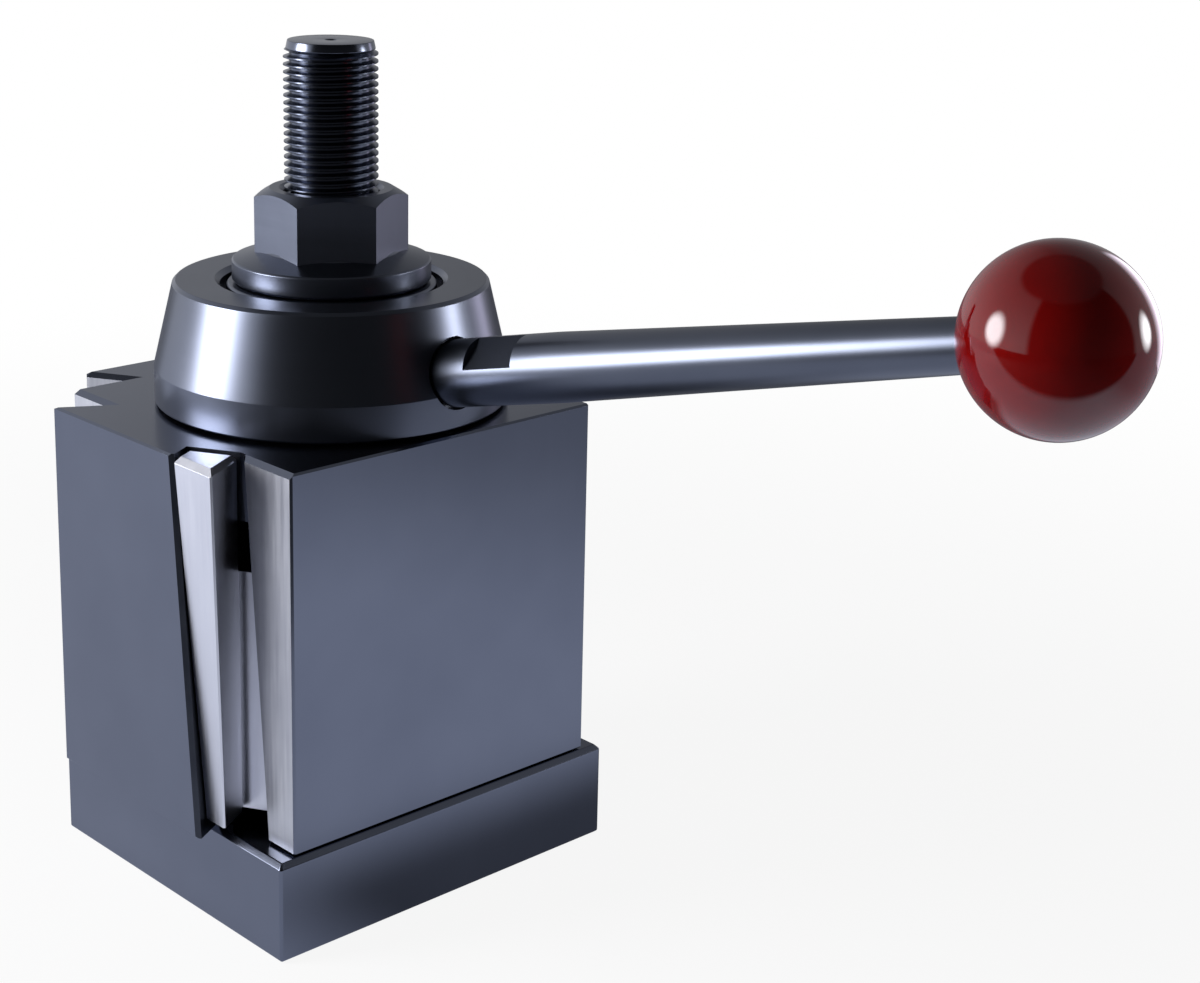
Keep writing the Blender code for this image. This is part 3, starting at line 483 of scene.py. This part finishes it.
# Handle: tapered rod with a rounded shoulder, a stub in the hub and two wrench flats
rod = {"radius": 7.9 * mm, "endRadius": 5.6 * mm, "start": 38.8 * mm, "taperFrom": 75 * mm,
       "end": 179.9 * mm, "shoulder": 3.4 * mm, "shoulderTo": 36, "tip": 4.76 * mm,
       "tipLength": 13.5 * mm, "tipEdge": 0.8 * mm, "stub": 6.35 * mm, "stubLength": 8.0 * mm,
       "stubEdge": 1 * mm, "edge": 0.12 * mm, "flats": 12.7 * mm, "flatsFrom": 51.5 * mm,
       "flatsLength": 14.5 * mm, "flatsTurn": -49.0, "cutterWide": 30 * mm,
       "cutterThick": 10 * mm}
# the shoulder is a quarter arc, down to where it meets the stub
shoulder = []
for degrees in range(90, rod["shoulderTo"] - 1, -9):
    a = math.radians(degrees)
    shoulder.append((rod["radius"] - rod["shoulder"] * (1 - math.sin(a)),
                     rod["start"] + rod["shoulder"] * (1 - math.cos(a))))
tipEnd, stubEnd = rod["end"] + rod["tipLength"], rod["start"] - rod["stubLength"]
handleRod = turnedPiece("handleRod", [
    (0.0, tipEnd), (rod["tip"] - rod["tipEdge"], tipEnd), (rod["tip"], tipEnd - rod["tipEdge"]),
    (rod["tip"], rod["end"]), (rod["endRadius"], rod["end"]),
    (rod["radius"], rod["taperFrom"])] + shoulder + [
    (rod["stub"], rod["start"]), (rod["stub"], stubEnd + rod["stubEdge"]),
    (rod["stub"] - rod["stubEdge"], stubEnd), (0.0, stubEnd)],
    False, 128, rod["edge"], handlePlace)
flatTools = []
wide, half = rod["cutterWide"] / 2, rod["cutterThick"] / 2
for sign in (1, -1):
    turn = (handlePlace @ Matrix.Rotation(math.radians(rod["flatsTurn"]), 4, "Z")
            @ Matrix.Translation((0, sign * (rod["flats"] / 2 + half), 0)))
    flatTools.append(prismPiece("flatTool", [(-wide, -half), (wide, -half), (wide, half),
                                             (-wide, half)], rod["flatsFrom"],
                                rod["flatsFrom"] + rod["flatsLength"], turn))
for tool in flatTools:
    carve(handleRod, tool)
settle(handleRod)
dropTools(*flatTools)
# Black oxide once more, with its rings round the handle's own axis
bluedHandle = steel("blackOxideOnTurnedHandle", {
    "dark": "#5f6470", "light": "#666b77", "roughness": 0.3, "play": 0.006, "cloudMm": 30.0,
    "turned": True, "axis": handlePlace, "lineMm": 2.0, "lineTone": 0.01, "bump": 0.006,
    "depthMm": 0.02})
dress(handleRod, bluedHandle, "cam", "handle_rod")

# Ball on its brass insert
ball = {"centre": 198.0 * mm, "radius": 19.05 * mm, "mouth": 17.8 * mm, "hole": 6.5 * mm,
        "holeDepth": 17.1 * mm, "rows": 72}
halfAngle = math.acos(ball["mouth"] / ball["radius"])
outline = [(0.0, ball["centre"] + ball["radius"])]
for k in range(1, ball["rows"] + 1):
    a = (math.pi - halfAngle) * k / ball["rows"]
    outline.append((ball["radius"] * math.sin(a), ball["centre"] + ball["radius"] * math.cos(a)))
mouthAt = ball["centre"] - ball["mouth"]
outline += [(ball["hole"], mouthAt), (ball["hole"], mouthAt + ball["holeDepth"]),
            (0.0, mouthAt + ball["holeDepth"])]
knob = turnedPiece("handleKnob", outline, False, 160, 0, handlePlace)
dress(knob, redPhenolic, "cam", "handle_knob")
print("hub and handle made")

# Flange nut: turned flange and skirt, a hexagon with a turned crown, and a countersunk bore.
# hidden, lap and hexInto are how far the turned part and the hexagon run into each other, and
# clear and crownReach how far the cutters stand out past the nut
nut = {"flats": 31.6 * mm, "turn": -32.8, "foot": 143.7 * mm, "top": 166.0 * mm,
       "flange": 23.67 * mm, "flangeTop": 149.0 * mm, "hexFoot": 150.6 * mm,
       "cornerDrop": 2.2 * mm, "topRadius": 14.6 * mm, "bore": 11.41 * mm, "footEdge": 0.7 * mm,
       "hidden": 2.2 * mm, "lap": 4 * mm, "skirtEdge": 0.4 * mm, "flangeEdge": 0.3 * mm,
       "slope": 0.1 * mm, "hexInto": 3.2 * mm, "clear": 3 * mm, "crownReach": 8 * mm,
       "sink": 1 * mm, "edge": 0.12 * mm}
flatAt = nut["flats"] / 2
flangeNut = turnedPiece("flangeNut", [
    (flatAt - nut["hidden"], nut["top"] - nut["lap"]),
    (flatAt - nut["hidden"], nut["hexFoot"] + nut["lap"]),
    (flatAt + nut["skirtEdge"], nut["hexFoot"] + nut["skirtEdge"]),
    (nut["flange"] - nut["skirtEdge"], nut["flangeTop"] + nut["slope"]),
    (nut["flange"], nut["flangeTop"] - nut["flangeEdge"]),
    (nut["flange"], nut["foot"] + nut["footEdge"]),
    (nut["flange"] - nut["footEdge"], nut["foot"]), (nut["bore"], nut["foot"]),
    (nut["bore"], nut["top"] - nut["lap"])], steps=192, edge=nut["edge"])
corner = flatAt / math.cos(math.radians(30))
hexagon = prismPiece("hexagon", [(corner * math.cos(math.radians(nut["turn"] + 60 * k)),
                                  corner * math.sin(math.radians(nut["turn"] + 60 * k)))
                                 for k in range(6)], nut["foot"] + nut["hexInto"], nut["top"])
slope = nut["cornerDrop"] / (corner - nut["topRadius"])
crownRadius = corner + nut["crownReach"]
crown = turnedPiece("crown", [
    (0.0, nut["top"] + nut["clear"]), (crownRadius, nut["top"] + nut["clear"]),
    (crownRadius, nut["top"] - nut["cornerDrop"] - nut["crownReach"] * slope),
    (nut["topRadius"], nut["top"]), (0.0, nut["top"])], False, 192, 0)
sinkRadius, sinkPast = nut["bore"] + nut["clear"], nut["clear"] - nut["sink"]
boreTool = turnedPiece("boreTool", [
    (0.0, nut["top"] + sinkPast), (sinkRadius, nut["top"] + sinkPast),
    (nut["bore"], nut["top"] - nut["sink"]), (nut["bore"], nut["foot"] + nut["sink"]),
    (sinkRadius, nut["foot"] - sinkPast), (0.0, nut["foot"] - sinkPast)], False, 128, 0)
carve(flangeNut, hexagon, "UNION")
carve(flangeNut, crown)
carve(flangeNut, boreTool)
easeEdges(flangeNut, nut["edge"], 24.0)
settle(flangeNut, 26)
dropTools(hexagon, crown, boreTool)
dress(flangeNut, bluedTurned, "nut", "flange_nut")
# the six flats of the hexagon are milled, and the only large upright faces
flangeNut.data.materials.append(bluedHexagon)
for face in flangeNut.data.polygons:
    if face.center.z > nut["hexFoot"] and abs(face.normal.z) < 0.02 and face.area > 20 * mm * mm:
        face.material_index = 1

# Stud: a plain core, and the thread as a ridge wound on it by Geometry Nodes
stud = {"radius": 11.11 * mm, "root": 9.65 * mm, "pitch": 1.814 * mm, "top": 200.9 * mm,
        "threadFrom": 140.0 * mm, "threadTo": 199.0 * mm, "endRadius": 10.1 * mm,
        "leadRadius": 10.5 * mm, "leadDepth": 0.8 * mm, "runOut": 1.5 * mm, "dimple": 1.4 * mm,
        "dimpleDepth": 1.6 * mm, "edge": 0.15 * mm}
studCore = turnedPiece("studCore", [
    (0.0, stud["top"] - stud["dimpleDepth"]), (stud["dimple"], stud["top"]),
    (stud["endRadius"], stud["top"]), (stud["leadRadius"], stud["threadTo"]),
    (stud["root"], stud["threadTo"] - stud["leadDepth"]), (stud["root"], stud["threadFrom"]),
    (stud["radius"], stud["threadFrom"] - stud["runOut"]), (stud["radius"], 0.0), (0.0, 0.0)],
    False, 128, stud["edge"])


def threadTree():
    # a spiral carries the ridge's section, and nothing may stand past the end chamfer
    tree = bpy.data.node_groups.new("threadRidge", "GeometryNodeTree")
    face = tree.interface
    face.new_socket("Geometry", in_out="OUTPUT", socket_type="NodeSocketGeometry")
    for name in ("Radius", "Root", "Pitch", "Bottom", "Top", "End Radius"):
        face.new_socket(name, in_out="INPUT", socket_type="NodeSocketFloat")
    face.new_socket("Material", in_out="INPUT", socket_type="NodeSocketMaterial")
    source = addNode(tree, "NodeGroupInput").outputs
    spot = addNode(tree, "GeometryNodeInputPosition").outputs[0]
    parts = addNode(tree, "ShaderNodeSeparateXYZ", {0: spot}).outputs
    flat = addNode(tree, "ShaderNodeCombineXYZ", {"X": parts["X"], "Y": parts["Y"]}).outputs[0]
    reach = addNode(tree, "ShaderNodeVectorMath", {0: flat}, operation="LENGTH").outputs["Value"]

    # the sums, each from the inputs, numbers and the sums before it: the spiral's size, then
    # the section, and then the share of its radius that each point may keep at its height
    value = {socket.name: socket for socket in source}
    value.update({"Z": parts["Z"], "reach": reach})
    for name, operation, a, b in (
            ("height", "SUBTRACT", "Top", "Bottom"),
            ("turns", "DIVIDE", "height", "Pitch"),
            ("depth", "SUBTRACT", "Radius", "Root"),
            ("sunk", "MULTIPLY", "depth", -0.25),  # how far the section starts inside the core
            ("wide", "MULTIPLY", "Pitch", 0.47),  # half its width at the root
            ("crest", "MULTIPLY", "Pitch", 0.085),  # and at the crest
            ("wideBelow", "MULTIPLY", "wide", -1.0),
            ("crestBelow", "MULTIPLY", "crest", -1.0),
            ("drop", "SUBTRACT", "Top", "Z"),
            ("depthDown", "MAXIMUM", "drop", 0.0),
            ("allowed", "ADD", "End Radius", "depthDown"),
            ("kept", "DIVIDE", "allowed", "reach"),
            ("share", "MINIMUM", "kept", 1.0),
            ("topmost", "SUBTRACT", "Top", 0.1 * mm),
            ("level", "MINIMUM", "Z", "topmost")):
        value[name] = addNode(tree, "ShaderNodeMath", {0: value.get(a, a), 1: value.get(b, b)},
                              operation=operation).outputs[0]

    spiral = addNode(tree, "GeometryNodeCurveSpiral", {
        "Resolution": 72, "Rotations": value["turns"], "Start Radius": value["Root"],
        "End Radius": value["Root"], "Height": value["height"], "Reverse": True})
    # the section is a truncated triangle: wide at the root, narrow at the crest
    section = addNode(tree, "GeometryNodeCurvePrimitiveQuadrilateral", mode="POINTS")
    for socket, across, up in (("Point 1", "sunk", "wide"), ("Point 2", "sunk", "wideBelow"),
                               ("Point 3", "depth", "crestBelow"), ("Point 4", "depth", "crest")):
        corner = addNode(tree, "ShaderNodeCombineXYZ", {"X": value[across], "Y": value[up]})
        tree.links.new(corner.outputs[0], section.inputs[socket])
    upright = addNode(tree, "GeometryNodeSetCurveNormal", {"Curve": spiral.outputs["Curve"]},
                      mode="Z_UP")
    ridge = addNode(tree, "GeometryNodeCurveToMesh", {
        "Curve": upright.outputs["Curve"], "Profile Curve": section.outputs["Curve"],
        "Fill Caps": True})
    shift = addNode(tree, "ShaderNodeCombineXYZ", {"Z": value["Bottom"]})
    lifted = addNode(tree, "GeometryNodeTransform", {
        "Geometry": ridge.outputs["Mesh"], "Translation": shift.outputs[0]})
    scaled = addNode(tree, "ShaderNodeVectorMath", {0: flat, "Scale": value["share"]},
                     operation="SCALE")
    rise = addNode(tree, "ShaderNodeCombineXYZ", {"Z": value["level"]})
    final = addNode(tree, "ShaderNodeVectorMath", {0: scaled.outputs[0], 1: rise.outputs[0]},
                    operation="ADD")
    trimmed = addNode(tree, "GeometryNodeSetPosition", {
        "Geometry": lifted.outputs["Geometry"], "Position": final.outputs[0]})
    real = addNode(tree, "GeometryNodeRealizeInstances", {"Geometry": trimmed.outputs["Geometry"]})
    painted = addNode(tree, "GeometryNodeSetMaterial", {
        "Geometry": real.outputs["Geometry"], "Material": value["Material"]})
    addNode(tree, "NodeGroupOutput", {"Geometry": painted.outputs["Geometry"]})
    return tree


def woundThread(name, values, material):
    # the ridge as a plain mesh, with its caps and turns joined up
    ob = linkObject(name, bpy.data.meshes.new(name))
    step = ob.modifiers.new("thread", "NODES")
    step.node_group = threadTree()
    for item in step.node_group.interface.items_tree:
        if item.in_out == "INPUT":
            step[item.identifier] = material if item.name == "Material" else values[item.name]
    settle(ob, 25)
    bm = bmesh.new()
    bm.from_mesh(ob.data)
    bmesh.ops.remove_doubles(bm, verts=bm.verts, dist=1e-7)
    bmesh.ops.recalc_face_normals(bm, faces=bm.faces)
    bm.to_mesh(ob.data)
    bm.free()
    return ob


studThread = woundThread("studThread", {
    "Radius": stud["radius"], "Root": stud["root"], "Pitch": stud["pitch"],
    "Bottom": stud["threadFrom"], "Top": stud["threadTo"], "End Radius": stud["leadRadius"]},
    bluedStud)
dress(studCore, bluedStud, "base", "stud")
dress(studThread, bluedStud, "base", None)
print("nut and stud made")

# The hidden pieces keep their CAD shapes and get their own finishes
inner = {"cam_screw": bareTurned, "collar_washer": bareTurned, "stop_pin": bareTurned,
         "drive_pin_1": bareTurned, "drive_pin_2": bareTurned, "drive_pin_3": bareTurned,
         "thrust_washer": bluedTurned, "sleeve_screw_1": bluedTurned,
         "sleeve_screw_2": bluedTurned, "sleeve_screw_3": bluedTurned,
         "upper_bush": bronze, "lower_bush": bronze, "knob_insert": brass, "hub_seal": rubber}
for name, material in inner.items():
    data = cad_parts[name].data
    data.materials.clear()
    data.materials.append(material)
print("hidden pieces finished")

# Studio: a pale tent, open and dark towards the camera and overhead, brightest on the left.
# Its walls run (how far to the camera's right, brightness), and it lights the object by a
# share of what metal sees of it
tent = {"walls": [(-0.9, 1.0), (-0.45, 0.7), (0.0, 0.3), (0.5, 0.45), (0.95, 0.5)],
        "opening": 0.035, "openTurn": 19.0, "openHalf": 63.0, "openSoft": 4.0,
        "top": 0.06, "topFrom": 0.78, "topTo": 0.85, "fallFrom": 0.1, "high": 0.35,
        "light": 0.4, "colour": "#f4f6fc", "lightColour": "#f8f9fc"}
cameraHeading = math.atan2(towardCamera.y, towardCamera.x)


def level(turn):
    # a flat direction, turned from the camera's side, positive to the right as the camera sees it
    heading = cameraHeading + math.radians(turn)
    return math.cos(heading), math.sin(heading), 0.0


def rayShares(tree):
    # camera rays, and the rays by which metal and gloss see the surroundings
    path = addNode(tree, "ShaderNodeLightPath").outputs
    mirrored = addNode(tree, "ShaderNodeMath", {
        0: path["Is Glossy Ray"], 1: path["Is Transmission Ray"]}, operation="MAXIMUM")
    return path["Is Camera Ray"], mirrored.outputs[0]


def buildWorld():
    world = bpy.data.worlds.new("tent")
    scene.world = world
    world.use_nodes = True
    tree = world.node_tree
    tree.nodes.clear()
    ray = addNode(tree, "ShaderNodeTexCoord").outputs["Generated"]
    parts = addNode(tree, "ShaderNodeSeparateXYZ", {"Vector": ray}).outputs
    flat = addNode(tree, "ShaderNodeCombineXYZ", {"X": parts["X"], "Y": parts["Y"]})
    around = addNode(tree, "ShaderNodeVectorMath", {0: flat.outputs[0]}, operation="NORMALIZE")
    # the opening
    facing = addNode(tree, "ShaderNodeVectorMath", {
        0: around.outputs[0], 1: level(tent["openTurn"])}, operation="DOT_PRODUCT")
    opened = addNode(tree, "ShaderNodeMapRange", {
        "Value": facing.outputs["Value"],
        1: math.cos(math.radians(tent["openHalf"] + tent["openSoft"])),
        2: math.cos(math.radians(tent["openHalf"] - tent["openSoft"]))},
        interpolation_type="SMOOTHSTEP")
    # the walls, by how far to the right they stand
    aside = addNode(tree, "ShaderNodeVectorMath", {0: around.outputs[0], 1: level(90.0)},
                    operation="DOT_PRODUCT")
    share = addNode(tree, "ShaderNodeMapRange", {"Value": aside.outputs["Value"], 1: -1.0, 2: 1.0})
    wallTone = addNode(tree, "ShaderNodeValToRGB", {"Fac": share.outputs[0]}, [
        ((across + 1) / 2, (bright, bright, bright, 1.0)) for across, bright in tent["walls"]])
    wall = addNode(tree, "ShaderNodeMix", {0: opened.outputs[0], 2: wallTone.outputs["Color"],
                                           3: tent["opening"]})
    # they darken upwards, and end at the dark top
    fall = addNode(tree, "ShaderNodeMapRange", {
        "Value": parts["Z"], 1: tent["fallFrom"], 2: tent["topTo"], 3: 1.0, 4: tent["high"]})
    lit = addNode(tree, "ShaderNodeMath", {0: wall.outputs[0], 1: fall.outputs[0]},
                  operation="MULTIPLY")
    overhead = addNode(tree, "ShaderNodeMapRange", {
        "Value": parts["Z"], 1: tent["topFrom"], 2: tent["topTo"]}, interpolation_type="SMOOTHSTEP")
    seen = addNode(tree, "ShaderNodeMix", {0: overhead.outputs[0], 2: lit.outputs[0],
                                           3: tent["top"]}).outputs[0]
    light = addNode(tree, "ShaderNodeMath", {0: seen, 1: tent["light"]}, operation="MULTIPLY")
    onCamera, mirrored = rayShares(tree)
    plain = addNode(tree, "ShaderNodeBackground", {
        "Color": hexColour(tent["lightColour"]), "Strength": light.outputs[0]})
    walls = addNode(tree, "ShaderNodeBackground", {
        "Color": hexColour(tent["colour"]), "Strength": seen})
    white = addNode(tree, "ShaderNodeBackground", {"Color": (1, 1, 1, 1), "Strength": 1.0})
    inMetal = addNode(tree, "ShaderNodeMixShader", {
        0: mirrored, 1: plain.outputs[0], 2: walls.outputs[0]})
    shown = addNode(tree, "ShaderNodeMixShader", {
        0: onCamera, 1: inMetal.outputs[0], 2: white.outputs[0]})
    addNode(tree, "ShaderNodeOutputWorld", {"Surface": shown.outputs[0]})


def softBox(name, look):
    # an oval cloth that faces its aim, as bright as its radiance says in the middle
    spot = Vector(level(look["turn"])) * look["distance"]
    spot.z = look["height"]
    lamp = bpy.data.lights.new(name, "AREA")
    lamp.shape = "ELLIPSE"
    lamp.size = look["width"]
    lamp.size_y = look["tall"]
    lamp.energy = look["radiance"] * math.pi * lamp.size * lamp.size_y * math.pi / 4
    if "spread" in look:
        # a grid narrows the beam, and the same brightness head-on then takes less power
        half = math.radians(look["spread"]) / 2
        lost = (half / 2 - math.sin(2 * half) / 4) / math.tan(half)
        lamp.energy *= 2 * (math.sin(half) ** 2 / 2 - lost)
        lamp.spread = 2 * half
    lamp.use_nodes = True
    tree = lamp.node_tree
    tree.nodes.clear()
    # the cloth glows most in its middle and fades out to the rim
    across = addNode(tree, "ShaderNodeNewGeometry").outputs["Parametric"]
    centred = addNode(tree, "ShaderNodeVectorMath", {0: across, 1: (0.5, 0.5, 0.0)},
                      operation="DISTANCE").outputs["Value"]
    fade = addNode(tree, "ShaderNodeMapRange", {"Value": centred, 1: 0.5, 2: look["core"] / 2},
                   interpolation_type="SMOOTHSTEP").outputs[0]
    glow = addNode(tree, "ShaderNodeEmission", {"Color": hexColour(look["colour"]),
                                                "Strength": fade})
    addNode(tree, "ShaderNodeOutputLight", {"Surface": glow.outputs[0]})
    ob = bpy.data.objects.new(name, lamp)
    scene.collection.objects.link(ob)
    ob.location = spot
    ob.rotation_euler = (Vector(look["aim"]) - spot).to_track_quat("-Z", "Y").to_euler()


buildWorld()
softBox("leftBox", {"turn": -74, "distance": 0.55, "height": 0.27, "width": 0.40, "tall": 0.46,
                    "radiance": 15.0, "core": 0.45, "colour": "#fbfbff", "aim": (0.0, 0.0, 0.12)})
# the right-hand boxes have grids, so that they light the ball and hardly reach the hub
softBox("rightBox", {"turn": 93, "distance": 1.04, "height": 0.22, "width": 0.46, "tall": 0.60,
                     "radiance": 20.0, "core": 0.55, "colour": "#fbfbff", "spread": 28,
                     "aim": (0.03, -0.27, 0.165)})
softBox("rimBox", {"turn": 114, "distance": 0.60, "height": 0.17, "width": 0.48, "tall": 0.90,
                   "radiance": 5.5, "core": 0.85, "colour": "#f8ecff", "spread": 48,
                   "aim": (0.03, -0.34, 0.165)})

# Floor: white paper that keeps a faint shadow and runs out to the white background. Metal sees
# it as a white glow instead, with painted shade to the right, a painted shadow in the object's lee,
# and dark past the table's front
paper = {"radius": 1.6, "steps": 96, "below": 0.3 * mm, "colour": "#f4f4f4",
         "near": 0.15, "far": 0.60, "glowNear": 0.91, "metalGlow": 0.9, "sheet": "#e8eeff",
         "tableFront": 0.225, "tableSoft": 0.05, "pastFront": 0.03,
         "dimWay": (1.0, -0.6, 0.0), "dimFrom": 0.23, "dimTo": 0.46, "dim": 0.45,
         "leftFrom": 0.03, "leftTo": -0.06, "leftTone": 0.85,
         "leeNear": 0.058, "leeFar": 0.095, "leeLeft": -0.06, "leeRight": -0.01, "lee": 0.2}
floorMesh = bpy.data.meshes.new("floor")
bm = bmesh.new()
bmesh.ops.create_circle(bm, cap_ends=True, segments=paper["steps"], radius=paper["radius"])
bm.to_mesh(floorMesh)
bm.free()
for vertex in floorMesh.vertices:
    vertex.co.z = -paper["below"]
floor = linkObject("floor", floorMesh)


def paperMaterial():
    # Matt white paper, as one long sheet: it scatters light and has no grain at this distance
    made = bpy.data.materials.new("mattWhitePaper")
    made.use_nodes = True
    tree = made.node_tree
    tree.nodes.clear()
    place = addNode(tree, "ShaderNodeTexCoord").outputs["Object"]
    split = addNode(tree, "ShaderNodeSeparateXYZ", {"Vector": place}).outputs
    away = addNode(tree, "ShaderNodeVectorMath", {0: place}, operation="LENGTH")
    forward = addNode(tree, "ShaderNodeVectorMath", {0: place, 1: level(0.0)},
                      operation="DOT_PRODUCT")
    toRight = addNode(tree, "ShaderNodeVectorMath", {0: place, 1: paper["dimWay"]},
                      operation="DOT_PRODUCT")
    # soft steps, each of a length from one value to another, and what they are at both ends
    step = {}
    # the right, left and lee steps paint shade and a shadow onto the glowing sheet that metal sees
    for name, along, start, end, first, last in (
            ("fade", away.outputs["Value"], paper["near"], paper["far"], paper["glowNear"], 1.0),
            ("front", forward.outputs["Value"], paper["tableFront"],
             paper["tableFront"] + paper["tableSoft"], 1.0, paper["pastFront"]),
            ("right", toRight.outputs["Value"], paper["dimFrom"], paper["dimTo"], 1.0,
             paper["dim"]),
            ("left", split["X"], paper["leftFrom"], paper["leftTo"], 1.0, paper["leftTone"]),
            ("leeFront", split["Y"], -paper["leeFar"], -paper["leeNear"], 0.0, 1.0),
            ("leeSide", split["X"], paper["leeLeft"], paper["leeRight"], 0.0, 1.0)):
        step[name] = addNode(tree, "ShaderNodeMapRange", {
            "Value": along, 1: start, 2: end, 3: first, 4: last},
            interpolation_type="SMOOTHSTEP").outputs[0]
    # the painted shadow: the sheet dimmed in the object's lee, seen only in metal
    inPaintedShadow = addNode(tree, "ShaderNodeMath", {0: step["leeFront"], 1: step["leeSide"]},
                    operation="MULTIPLY")
    step["lee"] = addNode(tree, "ShaderNodeMapRange", {
        "Value": inPaintedShadow.outputs[0], 3: 1.0, 4: paper["lee"]}).outputs[0]
    tone = step["front"]
    for name in ("right", "left", "lee"):
        tone = addNode(tree, "ShaderNodeMath", {0: tone, 1: step[name]},
                       operation="MULTIPLY").outputs[0]
    # the camera sees mostly white, metal sees the glowing sheet with its painted shade and shadow,
    # and light falls on the paper
    matt = addNode(tree, "ShaderNodeBsdfDiffuse", {"Color": hexColour(paper["colour"])})
    glow = addNode(tree, "ShaderNodeEmission", {"Color": (1, 1, 1, 1), "Strength": 1.0})
    sheet = addNode(tree, "ShaderNodeEmission", {
        "Color": hexColour(paper["sheet"]), "Strength": tone})
    onCamera, mirrored = rayShares(tree)
    inMetal = addNode(tree, "ShaderNodeMath", {0: mirrored, 1: paper["metalGlow"]},
                      operation="MULTIPLY")
    white = addNode(tree, "ShaderNodeMath", {0: step["fade"], 1: onCamera}, operation="MULTIPLY")
    table = addNode(tree, "ShaderNodeMixShader", {
        0: inMetal.outputs[0], 1: matt.outputs[0], 2: sheet.outputs[0]})
    mixed = addNode(tree, "ShaderNodeMixShader", {
        0: white.outputs[0], 1: table.outputs[0], 2: glow.outputs[0]})
    addNode(tree, "ShaderNodeOutputMaterial", {"Surface": mixed.outputs[0]})
    return made


floor.data.materials.append(paperMaterial())
scene.view_settings.view_transform = "Standard"
print("studio made")
